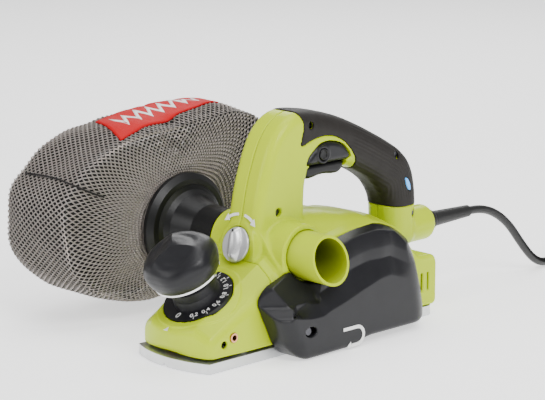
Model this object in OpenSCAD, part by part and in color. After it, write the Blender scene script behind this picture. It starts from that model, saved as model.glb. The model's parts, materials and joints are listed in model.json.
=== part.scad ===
// Electric hand planer, 82 mm class, with depth knob, side chip outlets and a dust bag.
// Frame: +X forward (front knob), +Y to the belt side, +Z up; origin at the centre of the sole.

/* [Sole] */
// Length of the whole sole
sole_l = 290; // [280:1:300]
// Width of both shoes
sole_w = 90; // [88:0.5:91]
// Thickness of both shoes
shoe_t = 9; // [8:0.5:9.5]

/* [Cutter drum] */
// Distance of the drum axis ahead of the middle of the sole
drum_x = 25; // [22:1:28]
// Radius that the blade edges sweep
cut_r = 28; // [27:0.5:28]
// Length of the cutter blades
blade_l = 82; // [80:1:82]
// Radius of the drum body
core_r = 25.3; // [24:0.1:25.5]

/* [Motor and belt] */
// Motor axis behind the middle of the sole
motor_x = -60; // [-62:1:-58]
// Motor axis above the sole
motor_z = 58; // [56:1:60]
// Belt seat radius of the motor pulley
motor_pulley_r = 8.8; // [8:0.1:9]
// Belt seat radius of the drum pulley
drum_pulley_r = 12.8; // [12:0.1:12.8]

/* [Chip duct] */
// Duct axis above the sole
duct_z = 85; // [84:0.5:87]
// Bore radius of both chip outlets
outlet_r = 18.5; // [17:0.1:19]
// Wall of the outlet tubes
outlet_wall = 2.5; // [2:0.1:2.6]

/* [Depth knob] */
// Radius of the numbered dial
dial_r = 31.5; // [30:0.5:32]
// Widest radius of the knob
knob_r = 33.5; // [32:0.5:34]

/* [Dust bag] */
// Length of the bag along the machine
bag_l = 262; // [250:1:270]
// Depth of the bag away from the machine
bag_w = 116; // [105:1:118]
// Height of the bag
bag_h = 174; // [160:1:176]

/* [Mains cord] */
// Diameter of the mains cord
cord_d = 8; // [7:0.5:8]

/* [Hidden] */
$fn = 48;
wall = 3;
gap = 0.3;
drum_z = cut_r;
half_w = 45;
duct_od_r = outlet_r + outlet_wall;
collar_r = 25.7;
knob_foot_x = 75;
knob_lean = 30;
handle_half = 20;
mould_t = 2;
cover_screw = [44, 25];
belt_y0 = 56;
belt_y1 = 66;
cover_y0 = 45.3;
cover_y1 = 73;
relief_x = -178;
cord_z = 74;
selector_tilt = 18;
selector_x = 63.2;
selector_z = 92.1;
boss_end_x = -178;

// Outlines of the side view, as [X, Z]
body_side = [[-146, 9.3], [-146, 51], [-141, 57], [-119, 57.5], [-111, 68], [-103, 79], [-90, 90],
  [-68, 98.5], [-38, 98.5], [-12, 96.5], [44, 90], [57, 81], [60.5, 79], [60.5, 12.6], [14, 12.6], [14, 9.3]];
handle_outer = [[60.5, 79], [57.5, 100], [55, 118], [49.5, 143], [39, 172], [30, 187], [19, 196.5],
  [8, 200.5], [-2, 201.5], [-25, 198], [-52, 190], [-81, 177], [-112, 161], [-134, 147], [-144, 133],
  [-149, 115], [-150.5, 97], [-150.5, 58], [-113.5, 58], [-80, 84], [-8, 84], [20, 79]];
hand_hole = [[-5, 90], [-5.5, 118], [-6.5, 136], [-9, 144], [-16, 148], [-58, 145], [-70, 141],
  [-90, 131], [-104, 119], [-112, 107], [-114, 96], [-114, 80], [-100, 60], [-60, 80]];
mould_zone = [[12, 210], [3, 200], [-1, 189], [2, 178], [4, 170], [-8, 175.6], [-19, 178], [-30, 178],
  [-42, 175], [-53, 168], [-61, 159], [-67, 150], [-70, 135], [-85, 108], [-96, 103], [-122, 98.5],
  [-160, 99.5], [-165, 150], [-100, 210]];
pod_side = [[-3, 152.7], [-5.4, 160], [-12.4, 166], [-19.4, 171], [-26.5, 172.6], [-36, 172],
  [-48, 168.5], [-56, 161.5], [-60.5, 152.7]];
pod_cut = [[-2.7, 130], [-2.7, 152.7], [-5.2, 160.3], [-12.2, 166.4], [-19.2, 171.4], [-26.5, 173],
  [-36, 172.4], [-48.2, 169], [-56.3, 161.8], [-60.8, 152.7], [-60.8, 130]];
cover_side = [[50, 0.6], [62, 10], [82, 53], [73, 64], [43, 74], [-12, 93], [-37, 97.5], [-66, 99],
  [-92, 89], [-103, 76], [-109, 62], [-118, 34], [-122, 6.6], [-29, 6.6], [-7, 1.2], [35, 0.6]];

// A round bar along Y
module rod_y(x, z, r, y0, y1) {
  translate([x, y0, z]) rotate([-90, 0, 0]) cylinder(h = y1 - y0, r = r);
}
// A ring along Y
module ring_y(x, z, r_out, r_in, y0, y1) {
  difference() {
    rod_y(x, z, r_out, y0, y1);
    rod_y(x, z, r_in, y0 - 1, y1 + 1);
  }
}
// A side outline given thickness along Y
module slab(y0, y1) {
  translate([0, y1, 0]) rotate([90, 0, 0]) linear_extrude(y1 - y0) children();
}
module block(x0, x1, y0, y1, z0, z1) {
  translate([x0, y0, z0]) cube([x1 - x0, y1 - y0, z1 - z0]);
}
// Places children on the leaning knob axis, at height s along it from the sole
module on_knob_axis(s = 0) {
  translate([knob_foot_x, 0, 0]) rotate([0, knob_lean, 0]) translate([0, 0, s]) children();
}
// Places children at the selector, with +Z pointing out of the pillar
module on_selector() {
  translate([selector_x, 0, selector_z]) rotate([0, 90 - selector_tilt, 0]) children();
}

// ---------- Sole ----------
module shoe_screw_places() {
  for (x = [-125, -20], y = [-28, 28]) translate([x, y, 0]) children();
}
module cheek_side() {
  polygon([[-22, 8], [14, 8], [14, 13], [52, 13], [52, 36], [42, 50], [4, 50], [-22, 30]]);
}
module rear_shoe() {
  corner_r = 12;
  color("lightgray") difference() {
    union() {
      hull() {
        translate([-sole_l / 2 + corner_r, sole_w / 2 - corner_r, 0]) cylinder(h = shoe_t, r = corner_r);
        translate([-sole_l / 2 + corner_r, -sole_w / 2 + corner_r, 0]) cylinder(h = shoe_t, r = corner_r);
        block(0, 14, -sole_w / 2, sole_w / 2, 0, shoe_t);
      }
      slab(42.2, half_w) cheek_side();
      slab(-half_w, -42.2) cheek_side();
      rod_y(drum_x, drum_z, 16, 42.2, 54.5);
      rod_y(cover_screw[0], cover_screw[1], 4.5, 42.2, 54.5);
    }
    rod_y(drum_x, drum_z, cut_r + 1.6, -41.8, 41.8);
    block(-60, 60, -41.8, 41.8, 13, 80);
    rod_y(drum_x, drum_z, 13, 46, 60);
    rod_y(drum_x, drum_z, 8, 40, 50);
    rod_y(cover_screw[0], cover_screw[1], 2.15, 44, 60);
    rod_y(drum_x, drum_z, 11, -43, -30);
    shoe_screw_places() translate([0, 0, -1]) cylinder(h = 20, r = 2.6);
    shoe_screw_places() translate([0, 0, -1]) cylinder(h = 5, r = 5.2);
  }
  color("lightgray") difference() {
    rod_y(drum_x, drum_z, 13.5, -43, -35);
    rod_y(drum_x, drum_z, 11, -50, -30);
  }
}
module shoe_screws() {
  color("dimgray") shoe_screw_places() difference() {
    union() {
      translate([0, 0, 0.6]) cylinder(h = 3, r = 4.6);
      translate([0, 0, 0.6]) cylinder(h = 19, r = 2.4);
    }
    translate([0, 0, -1]) cylinder(h = 3.4, r = 2, $fn = 6);
  }
}
nose_r = 100;
groove_w = 7;
module nose_plan(len, w) {
  intersection() {
    translate([-10, -w / 2]) square([len + 10, w]);
    translate([len - nose_r, 0]) circle(r = nose_r, $fn = 96);
  }
}
module front_shoe() {
  color("lightgray") difference() {
    union() {
      difference() {
        linear_extrude(shoe_t) nose_plan(sole_l / 2, sole_w);
        block(-100, 36, -60, 60, -1, 20);
      }
      intersection() {
        on_knob_axis(4) cylinder(h = 20, r = 10);
        block(40, 140, -20, 20, 2, 60);
      }
      for (y = [-27, 27]) intersection() {
        translate([0, y, 0]) on_knob_axis(4) cylinder(h = 12, r = 7);
        block(40, 140, -40, 40, 2, 60);
      }
    }
    rod_y(drum_x, drum_z, cut_r + 4, -60, 60);
    on_knob_axis(5) cylinder(h = 40, r = 4.08);
    for (y = [-27, 27]) translate([0, y, 0]) on_knob_axis(7) cylinder(h = 30, r = 4);
    // V groove for bevelling edges
    translate([30, 0, 0]) rotate([90, 0, 90]) linear_extrude(160)
      polygon([[-groove_w / 2 - 1, -1], [groove_w / 2 + 1, -1], [0, groove_w / 2]]);
  }
}
module guide_pins() {
  color("silver") for (y = [-27, 27]) translate([0, y, 0]) on_knob_axis(7) cylinder(h = 33, r = 4);
}

// ---------- Body shells ----------
// The sloping front housing: side profile crossed with a crowned section along the slope
module wedge(t) {
  intersection() {
    slab(-half_w + t, half_w - t)
      polygon([[50, 11.6 - (t > 0 ? 5 : 0)], [137 - t, 11.6 - (t > 0 ? 5 : 0)], [140.5 - t, 16],
        [140 - t, 30], [60, 110], [50, 110]]);
    on_knob_axis(0) rotate([0, 90, 0]) translate([0, 0, -150]) linear_extrude(300)
      polygon([[60, -half_w + t], [-46 + t, -half_w + t], [-52.5 + t, -40 + t], [-61.3 + t, -26],
        [-61.3 + t, 26], [-52.5 + t, 40 - t], [-46 + t, half_w - t], [60, half_w - t]]);
    linear_extrude(200) nose_plan(141 - t, 2 * half_w - 2 * t);
  }
}
module front_housing() {
  color([0.78, 0.84, 0.17]) difference() {
    union() {
      difference() {
        wedge(0);
        wedge(wall);
      }
      intersection() {
        union() {
          on_knob_axis(45) cylinder(h = 16, r = 9);
          on_knob_axis(55) cylinder(h = 6, r = 36);
          for (y = [-27, 27]) translate([0, y, 0]) on_knob_axis(30) cylinder(h = 34, r = 7);
          for (s = [-1, 1]) rod_y(106, 26.6, 6, s > 0 ? 33 : -half_w, s > 0 ? half_w : -33);
        }
        wedge(0);
      }
    }
    block(0, 60.8, -60, 60, -10, 120);
    on_knob_axis(59) cylinder(h = 30, r = dial_r + 0.5);
    on_knob_axis(30) cylinder(h = 40, r = 5.08);
    for (y = [-27, 27]) translate([0, y, 0]) on_knob_axis(20) cylinder(h = 26, r = 4.08);
    rod_y(106, 26.6, 4, -60, -35);
    rod_y(106, 26.6, 4, 35, 60);
    rod_y(116, 22, 3.2, 41, 60);
  }
}
module fence_inserts() {
  color("goldenrod") for (s = [-1, 1]) ring_y(106, 26.6, 4, 2.5, s > 0 ? 35 : -half_w, s > 0 ? half_w : -35);
}
// The handle loop, its edges rounded in three steps
module handle_side() {
  difference() {
    offset(r = 1.5, $fn = 24) offset(delta = -1.5) polygon(handle_outer);
    polygon(hand_hole);
  }
}
module handle_half(shrink) {
  slab(0, handle_half - 7 - shrink) offset(delta = -shrink) handle_side();
  slab(0, handle_half - 3 - shrink) offset(delta = -shrink - 1.2) handle_side();
  slab(0, handle_half - shrink) offset(delta = -shrink - 4) handle_side();
}
// Body half built on the +Y side: lower casing, handle half and duct collar
// Raised middle of the deck, in the space under the grip
deck_half = 30;
deck_round = 3;
deck_side = [[-114, 60], [-114, 78], [-105, 86], [-91, 92.5], [-65, 100], [-47, 103.5], [-31, 106.5],
  [-10, 108], [0, 106], [0, 70]];
module half_shell(side) {
  difference() {
    union() {
      difference() {
        union() {
          slab(0, half_w) polygon(body_side);
          slab(0, deck_half) offset(r = deck_round, $fn = 24) polygon(deck_side);
        }
        slab(-1, half_w - wall) offset(delta = -wall) polygon(body_side);
        block(54, 70, -1, half_w - wall, 12, 76);
      }
      difference() {
        handle_half(0);
        slab(-1, handle_half - wall - 0.5) offset(delta = -wall - 1.5) handle_side();
      }
      intersection() {
        shoe_screw_places() cylinder(h = 21, r = 6);
        block(-140, 0, 0, 40, 9.3, 30);
      }
      rod_y(drum_x, duct_z, collar_r, 10, 46);
      if (side > 0) rod_y(motor_x, motor_z, 17, 42, 54);
      if (side < 0) rod_y(motor_x, motor_z, 41, 40, 55);
      translate([boss_end_x, 0, cord_z]) rotate([0, 90, 0])
        intersection() {
          cylinder(h = 32, r = 16.5);
          translate([-20, 0, 0]) cube([40, 20, 40]);
        }
      screw_posts();
    }
    // grip recess that the overmould fills
    difference() {
      slab(-1, 30) intersection() {
        polygon(mould_zone);
        offset(delta = 10) polygon(handle_outer);
      }
      handle_half(mould_t + 0.05);
      slab(-2, 31) polygon(hand_hole);
    }
    slab(-1, 30) polygon(pod_cut);
    rod_y(drum_x, duct_z, duct_od_r + gap, -1, 60);
    block(21.7, 50.3, -1, 24.3, 40, 76.3);
    // window for the casting's cheek, and the drum bay
    slab(41, 60) offset(delta = 0.3) cheek_side();
    rod_y(drum_x, drum_z, 33.4, -1, 42.2);
    slab(-1, 60) polygon([[14, 0], [14, 13.3], [70, 13.3], [70, 0]]);
    // pillar wall hole for the selector shaft
    on_selector() translate([0, 0, -60]) cylinder(h = 70, r = 3.06);
    on_selector() translate([0, 0, -2.2]) cylinder(h = 40, r = 16.5);
    // cord entry
    translate([boss_end_x - 1, 0, cord_z]) rotate([0, 90, 0]) cylinder(h = 40, r = 7.3);
    if (side > 0) indicator_place() cylinder(h = 30, r = 4.2, center = true);
    // motor seats
    rod_y(motor_x, motor_z, 36.6, -1, 41.9);
    if (side > 0) {
      rod_y(motor_x, motor_z, 13, 45.5, 60);
      rod_y(motor_x, motor_z, 9, 40, 60);
    }
    if (side < 0) {
      rod_y(motor_x, motor_z, 38, -1, 52);
      for (a = [-60:20:60]) translate([motor_x, 0, motor_z]) rotate([0, a, 0])
        block(-1.6, 1.6, 51, 60, 20, 33);
    }
    // vents in the lower rear body
    for (x = [-126, -134]) block(x - 1.3, x + 1.3, 40, 50, 24, 41);
    screw_holes(side);
    shoe_screw_places() cylinder(h = 30, r = 2.45);
  }
  if (side < 0) difference() {
    rod_y(motor_x, motor_z, 14, 43, 54);
    rod_y(motor_x, motor_z, 11, 40, 51);
  }
}
// Body screws: [X, Z, Y of the shell's inner post end]
screw_at = [[30, 118], [-9, 189], [-119, 147], [-142.5, 90]];
module screw_posts() {
  for (p = screw_at) rod_y(p[0], p[1], 4.6, 0, handle_half - wall);
}
module screw_holes(side) {
  for (p = screw_at) {
    rod_y(p[0], p[1], 2.1, -1, 30);
    if (side > 0) rod_y(p[0], p[1], 3.7, 13, 30);
  }
}
module left_housing() {
  color([0.78, 0.84, 0.17]) half_shell(1);
}
module right_housing() {
  color([0.78, 0.84, 0.17]) mirror([0, 1, 0]) half_shell(-1);
}
module housing_screws() {
  color("dimgray") for (p = screw_at) {
    rod_y(p[0], p[1], 1.9, -12, 14);
    rod_y(p[0], p[1], 3.4, 13.3, 15.5);
  }
}
module grip_overmould() {
  color([0.2, 0.19, 0.18]) difference() {
    union() {
      handle_half(0);
      mirror([0, 1, 0]) handle_half(0);
    }
    difference() {
      union() {
        handle_half(mould_t);
        mirror([0, 1, 0]) handle_half(mould_t);
      }
      slab(-40, 40) polygon(hand_hole);
    }
    slab(-40, 40) difference() {
      square([600, 600], center = true);
      polygon(mould_zone);
    }
    for (p = screw_at) rod_y(p[0], p[1], 3.9, -1, 30);
    indicator_place() cylinder(h = 30, r = 4.2, center = true);
  }
}

// ---------- Trigger group ----------
module trigger_surround() {
  color([0.12, 0.12, 0.13]) difference() {
    slab(-19.4, 19.4) polygon(pod_side);
    slab(-14.6, 14.6) polygon([[-18, 150], [-18, 180], [-62, 180], [-62, 150]]);
    slab(-14.6, 14.6) polygon([[0, 150], [0, 152.9], [-19, 154.2], [-19, 150]]);
    slab(-5.6, 5.6) polygon([[-6.5, 150], [-6.5, 161], [-19, 161], [-19, 150]]);
    rod_y(-13, 156.8, 1.5, -11.5, 11.5);
    rod_y(-23.5, 161.5, 5.1, 10, 30);
  }
}
module trigger_pin() {
  color("silver") rod_y(-13, 156.8, 1.5, -11.5, 11.5);
}
module trigger() {
  color([0.1, 0.1, 0.11]) difference() {
    union() {
      slab(-14, 14) polygon([[-4.5, 152.3], [-5, 147], [-8, 141.5], [-13, 139.2], [-30, 142.3],
        [-45, 140], [-52, 141], [-56, 146], [-56.5, 152.3]]);
      slab(-5.2, 5.2) polygon([[-9.4, 151], [-9.4, 159.5], [-16.8, 159.5], [-17.5, 155], [-50, 156],
        [-50, 151]]);
    }
    rod_y(-13, 156.8, 1.56, -20, 20);
  }
}
module lock_button() {
  color([0.1, 0.1, 0.11]) difference() {
    union() {
      rod_y(-23.5, 161.5, 5.04, 14.8, 21.2);
      rod_y(-23.5, 161.5, 3, 9, 15);
    }
    rod_y(-23.5, 161.5, 3.4, 20.4, 22);
  }
}
module switch_body() {
  color("black") {
    block(-56, -30, -11, 11, 163.8, 182);
    rod_y(-43, 162.3, 1.6, -3, 3);
  }
}
module indicator_place() {
  translate([-143, 13, 119]) rotate([0, 0, 45]) rotate([90, 0, 0]) children();
}
module live_indicator() {
  color("deepskyblue") intersection() {
    indicator_place() cylinder(h = 5, r = 4.1, center = true);
    union() {
      handle_half(0.2);
    }
  }
}

// ---------- Chip duct and selector ----------
module chip_duct() {
  color([0.78, 0.84, 0.17]) difference() {
    union() {
      rod_y(drum_x, duct_z, duct_od_r, -76, 88);
      intersection() {
        rod_y(drum_x, drum_z, 33, -41.4, 41.4);
        block(-20, 60, -50, 50, 13.6, 90);
      }
      block(22, 50, -24, 24, 45, 76);
    }
    rod_y(drum_x, duct_z, outlet_r - 0.3, -70, 90);
    rod_y(drum_x, duct_z, outlet_r, -80, -24);
    rod_y(drum_x, duct_z, outlet_r, 24, 90);
    rod_y(drum_x, drum_z, cut_r + 2.6, -50, 50);
    block(24.5, 47.5, -21.5, 21.5, 40, 73.5);
    // slanted mouth, its lower lip standing out further
    translate([drum_x, 78, duct_z]) rotate([17, 0, 0]) translate([-40, 0, -60]) cube([80, 40, 120]);
    on_selector() translate([0, 0, -38]) cylinder(h = 60, r = 3.06);
  }
}
module selector_knob() {
  color("silver") on_selector() {
    translate([0, 0, -2]) cylinder(h = 2, r1 = 15.5, r2 = 15.5);
    rotate([0, 0, -8]) intersection() {
      cylinder(h = 5.5, r = 14.6);
      translate([-20, -4.2, -1]) cube([40, 8.4, 8]);
    }
  }
}
module selector_flap() {
  color([0.15, 0.15, 0.16]) on_selector() {
    translate([0, 0, -52]) cylinder(h = 50, r = 3);
    translate([-14, -1.2, -50]) cube([13, 2.4, 24]);
  }
}

// ---------- Belt drive ----------
module belt_outline(extra) {
  hull() {
    translate([drum_x, drum_z]) circle(r = drum_pulley_r + extra);
    translate([motor_x, motor_z]) circle(r = motor_pulley_r + extra);
  }
}
module drive_belt() {
  color([0.08, 0.08, 0.08]) slab(belt_y0 + 1.5, belt_y1 - 1.5) difference() {
    belt_outline(2.2);
    belt_outline(0.3);
  }
}
// The cover in three steps; inset gives the same form that far inside
module cover_form(inset) {
  slab(cover_y0 - inset, 58 - inset) offset(delta = -inset) polygon(cover_side);
  slab(57 - inset, 66 - inset) offset(delta = -inset - 2.5) polygon(cover_side);
  slab(65 - inset, cover_y1 - inset) offset(delta = -inset - 6) polygon(cover_side);
}
module belt_cover() {
  color([0.16, 0.16, 0.17]) difference() {
    cover_form(0);
    difference() {
      cover_form(2.5);
      rod_y(drum_x, duct_z, collar_r + 2.8, 40, 90);
      rod_y(cover_screw[0], cover_screw[1], 3.9, 54.8, 90);
    }
    rod_y(drum_x, duct_z, collar_r + 0.3, 40, 47);
    rod_y(drum_x, duct_z, duct_od_r + 2, 40, 90);
    rod_y(cover_screw[0], cover_screw[1], 2.2, 40, 90);
    rod_y(cover_screw[0], cover_screw[1], 3.4, 68, 90);
  }
}
module belt_cover_screw() {
  color("dimgray") {
    rod_y(cover_screw[0], cover_screw[1], 2.1, 44.4, 69);
    rod_y(cover_screw[0], cover_screw[1], 3.2, 68.1, 70.5);
  }
}
module pulley(x, z, r, r_shaft) {
  difference() {
    union() {
      rod_y(x, z, r, belt_y0, belt_y1);
      rod_y(x, z, r + 1.8, belt_y0, belt_y0 + 1.2);
      rod_y(x, z, r + 1.8, belt_y1 - 1.2, belt_y1);
    }
    rod_y(x, z, r_shaft, belt_y0 - 1, belt_y1 + 1);
  }
}
module drum_pulley() {
  color("gray") pulley(drum_x, drum_z, drum_pulley_r, 5);
}
module motor_pulley() {
  color("gray") pulley(motor_x, motor_z, motor_pulley_r, 5);
}
module shaft_nut(x, z) {
  difference() {
    translate([x, belt_y1, z]) rotate([-90, 0, 0]) cylinder(h = 3.4, r = 7, $fn = 6);
    rod_y(x, z, 4, belt_y1 - 1, belt_y1 + 6);
  }
}
module drum_pulley_nut() {
  color("silver") shaft_nut(drum_x, drum_z);
}
module motor_pulley_nut() {
  color("silver") shaft_nut(motor_x, motor_z);
}

// ---------- Cutter ----------
module blade_places() {
  for (a = [20, 200]) translate([drum_x, 0, drum_z]) rotate([0, a, 0]) children();
}
module cutter_drum() {
  color("darkgray") difference() {
    rod_y(drum_x, drum_z, core_r, -41, 41);
    rod_y(drum_x, drum_z, 15, -42, -33.5);
    rod_y(drum_x, drum_z, 6, -42, 42);
    blade_places() block(-6, 2.6, -42, 42, 15.2, 40);
  }
}
module drum_shaft() {
  color("silver") {
    rod_y(drum_x, drum_z, 6, -35, 45.6);
    rod_y(drum_x, drum_z, 3.96, -42.6, -34.5);
    rod_y(drum_x, drum_z, 4.96, 45, belt_y1);
    rod_y(drum_x, drum_z, 4, belt_y1 - 1, belt_y1 + 3.6);
  }
}
module planer_blades() {
  color("silver") blade_places() block(1.4, 2.5, -blade_l / 2, blade_l / 2, cut_r - 5.6, cut_r - 0.1);
}
module blade_clamps() {
  color("gray") blade_places() difference() {
    block(-5.9, 1.3, -40, 40, 15.3, 24.6);
    for (y = [-28, 0, 28]) translate([-10, y, 20]) rotate([0, 90, 0]) cylinder(h = 20, r = 2.5);
  }
}
module blade_screws() {
  color("dimgray") blade_places() for (y = [-28, 0, 28])
    translate([-5.8, y, 20]) rotate([0, 90, 0]) cylinder(h = 7, r = 2.45);
}
module bearing(x, z, r_out, r_in, y0, y1) {
  ring_y(x, z, r_out - 0.02, r_in, y0, y1);
}
module drum_bearing_left() {
  color("silver") bearing(drum_x, drum_z, 13, 5.02, 46, 54);
}
module drum_bearing_right() {
  color("silver") bearing(drum_x, drum_z, 11, 4.02, -42.8, -35.8);
}
module motor_bearing_left() {
  color("silver") bearing(motor_x, motor_z, 13, 5.02, 45.6, 53.6);
}
module motor_bearing_right() {
  color("silver") bearing(motor_x, motor_z, 11, 4.02, -51, -44);
}

// ---------- Motor ----------
module motor_shaft() {
  color("silver") {
    rod_y(motor_x, motor_z, 6, -43.5, 44.5);
    rod_y(motor_x, motor_z, 3.96, -50.5, -43);
    rod_y(motor_x, motor_z, 4.96, 44, belt_y1);
    rod_y(motor_x, motor_z, 4, belt_y1 - 1, belt_y1 + 3.6);
  }
}
module armature_core() {
  color("gray") difference() {
    rod_y(motor_x, motor_z, 22.5, -20, 18);
    rod_y(motor_x, motor_z, 6, -21, 19);
    for (a = [0:30:330]) translate([motor_x, 0, motor_z]) rotate([0, a, 0])
      block(-1, 1, -21, 19, 18.5, 30);
  }
}
module armature_windings() {
  color("chocolate") {
    ring_y(motor_x, motor_z, 18, 6, 18.1, 24);
    ring_y(motor_x, motor_z, 18, 6, -27, -20.1);
  }
}
module commutator() {
  color("peru") difference() {
    ring_y(motor_x, motor_z, 12, 6, -42, -28);
    for (a = [0:30:330]) translate([motor_x, 0, motor_z]) rotate([0, a, 0])
      block(-0.3, 0.3, -43, -27, 10.8, 14);
  }
}
module cooling_fan() {
  color([0.1, 0.1, 0.1]) difference() {
    union() {
      rod_y(motor_x, motor_z, 9, 28, 40);
      rod_y(motor_x, motor_z, 32, 38, 40);
      for (a = [0:30:330]) translate([motor_x, 0, motor_z]) rotate([0, a, 0])
        block(-0.8, 0.8, 30, 39, 8, 31);
    }
    rod_y(motor_x, motor_z, 6, 27, 41);
  }
}
module stator_core() {
  color("dimgray") ring_y(motor_x, motor_z, 36, 23.2, -20, 18);
}
module field_coils() {
  color("chocolate") {
    ring_y(motor_x, motor_z, 33, 24.5, 18.1, 23);
    ring_y(motor_x, motor_z, 33, 24.5, -26, -20.1);
  }
}
module fan_baffle() {
  color([0.1, 0.1, 0.1]) ring_y(motor_x, motor_z, 36.8, 25, 24.5, 27);
}
module brush_places() {
  for (a = [90, 270]) translate([motor_x, -35.5, motor_z]) rotate([0, a, 0]) children();
}
module brush_holders() {
  color("goldenrod") brush_places() difference() {
    block(-6, 6, -4.5, 4.5, 13.5, 34);
    block(-4.1, 4.1, -3.1, 3.1, 12, 33);
  }
}
module carbon_brushes() {
  color([0.15, 0.15, 0.15]) brush_places() block(-4, 4, -3, 3, 12.3, 28);
}
module cord_clamp() {
  color([0.1, 0.1, 0.1]) difference() {
    block(-142, -134, -9, 9, 63, 70);
    translate([-150, 0, 74]) rotate([0, 90, 0]) cylinder(h = 30, r = 6);
  }
}

// ---------- Front depth adjuster ----------
module depth_spindle() {
  color("silver") {
    on_knob_axis(8) cylinder(h = 34, r = 4);
    on_knob_axis(41) cylinder(h = 40, r = 5);
  }
}
module spindle_clip() {
  color("dimgray") difference() {
    on_knob_axis(41.4) cylinder(h = 3.2, r = 8.5);
    on_knob_axis(40) cylinder(h = 6, r = 5);
  }
}
module depth_dial() {
  color("black") difference() {
    on_knob_axis(59.3) cylinder(h = 3.9, r = dial_r);
    on_knob_axis(58) cylinder(h = 8, r = 5);
  }
}
module knob_core() {
  color([0.1, 0.1, 0.11]) difference() {
    on_knob_axis(63.2) rotate_extrude($fn = 64)
      polygon([[0, 0], [21.5, 0], [20.5, 8], [21, 16], [24, 21], [28.5, 24], [28.5, 26], [28, 38], [0, 38]]);
    on_knob_axis(60) cylinder(h = 21, r = 5);
  }
}
module knob_trim_ring() {
  color("silver") difference() {
    on_knob_axis(87.4) cylinder(h = 1.8, r = 29.8);
    on_knob_axis(87) cylinder(h = 3, r = 28.6);
  }
}
module knob_cap() {
  color([0.13, 0.13, 0.14]) on_knob_axis(89.2) difference() {
    rotate_extrude($fn = 64)
      polygon([[0, 0], [30, 0], [31.8, 4], [33, 8], [knob_r, 12], [33, 16], [30.5, 21], [26, 25.5],
        [18, 29.4], [9, 31.4], [0, 32]]);
    translate([0, 0, -1]) cylinder(h = 13.1, r = 28.6);
  }
}

// ---------- Dust bag ----------
bag_x0 = -110;
bag_y1 = -113;
bag_z0 = 9;
module bag_adapter() {
  color([0.1, 0.1, 0.11]) translate([drum_x, 0, duct_z]) rotate([90, 0, 0]) rotate_extrude($fn = 64)
    polygon([[duct_od_r + 0.05, 48], [24, 48], [24, 74], [27, 84], [30, 94], [34, 98], [38, 100], [38, 116],
      [35, 116], [35, 102.5], [30, 100], [26.5, 95], [23.5, 85], [20, 77.5], [duct_od_r + 0.05, 77.5]]);
}
module bag_ring() {
  color([0.1, 0.1, 0.11]) translate([drum_x, 0, duct_z]) rotate([90, 0, 0]) rotate_extrude($fn = 64)
    polygon([[38.3, 100], [43, 100.5], [48, 105], [48, 109], [43, 111.4], [38.3, 111.4]]);
}
module bag_form(t) {
  hull() {
    for (x = [0, 1], z = [0, 1]) {
      lift = x == 1 && z == 1 ? 36 : 0;
      rise = x == 1 && z == 0 ? 26 : 0;
      for (y = [0, 1]) {
        out = y == 1 ? 0 : 8;
        translate([bag_x0 + (x == 1 ? bag_l - 34 - out : 34), bag_y1 - 34 - y * (bag_w - 68),
          bag_z0 + (z == 1 ? bag_h - 34 - lift : 34 + rise)]) sphere(r = 34 - t, $fn = 24);
      }
    }
  }
}
module dust_bag() {
  color([0.5, 0.47, 0.45]) difference() {
    bag_form(0);
    bag_form(2);
    rod_y(drum_x, duct_z, 38.3, -140, -100);
  }
}

// ---------- Mains cord ----------
module strain_relief() {
  color([0.1, 0.1, 0.1]) translate([relief_x, 0, cord_z]) rotate([0, -90, 0]) {
    rotate_extrude($fn = 48) polygon([[0, -14], [7, -14], [7, 0], [10, 0], [10, 6], [7.4, 10],
      [5.6, 60], [0, 60]]);
  }
}
// Route of the free cord as [X, Y, Z], then its tail out of the coil to the plug
cord_r = cord_d / 2;
cord_route = [[-238, 0, 74], [-254, 0, 73], [-270, 0, 69], [-285, 1, 61], [-298, 2, 50], [-309, 3, 37],
  [-320, 4, 24], [-332, 4, 13], [-346, 3, 6], [-362, 0, 4], [-380, -5, 4], [-398, -13, 4]];
tail_route = [[-406, 88, 20], [-388, 91, 17], [-370, 94, 11], [-352, 96, 7], [-335, 97, 7], [-318, 96, 9]];
coil_c = [-410, 36];
coil_mean = 44;
function unit(v) = v / norm(v);
function way(p, i) = unit(i == 0 ? p[1] - p[0] : i == len(p) - 1 ? p[i] - p[i - 1] : p[i + 1] - p[i - 1]);
function side_of(d) = unit(cross(d, [0.02, 0.03, 1]));
module swept(p, r, n = 10) {
  pts = [for (i = [0:len(p) - 1]) let (d = way(p, i), u = side_of(d), v = cross(u, d))
    for (k = [0:n - 1]) p[i] + r * (cos(360 * k / n) * u + sin(360 * k / n) * v)];
  last = len(p) - 1;
  sides = [for (i = [0:last - 1], k = [0:n - 1])
    [i * n + k, i * n + (k + 1) % n, (i + 1) * n + (k + 1) % n, (i + 1) * n + k]];
  caps = [[for (k = [n - 1:-1:0]) k], [for (k = [0:n - 1]) last * n + k]];
  polyhedron(points = pts, faces = concat(sides, caps), convexity = 4);
}
module mains_cord() {
  color([0.1, 0.1, 0.1]) {
    swept(cord_route, cord_r);
    swept(tail_route, cord_r);
  }
}
module cord_coil() {
  color([0.1, 0.1, 0.1]) translate([coil_c[0], coil_c[1], 0]) rotate_extrude($fn = 64)
    translate([coil_mean - 1.5 * cord_d, 0]) square([3 * cord_d, 3 * cord_d]);
}
module mains_plug() {
  color([0.1, 0.1, 0.1]) translate([-318, 96, 0]) {
    translate([0, 0, 9]) rotate([0, 90, 0]) cylinder(h = 16, r1 = 6, r2 = 8.9);
    translate([15, -11, 0]) cube([24, 22, 18]);
  }
  color("silver") for (y = [-9.5, 9.5]) translate([-280, 96 + y, 9]) rotate([0, 90, 0]) cylinder(h = 19, r = 2);
}

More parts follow.
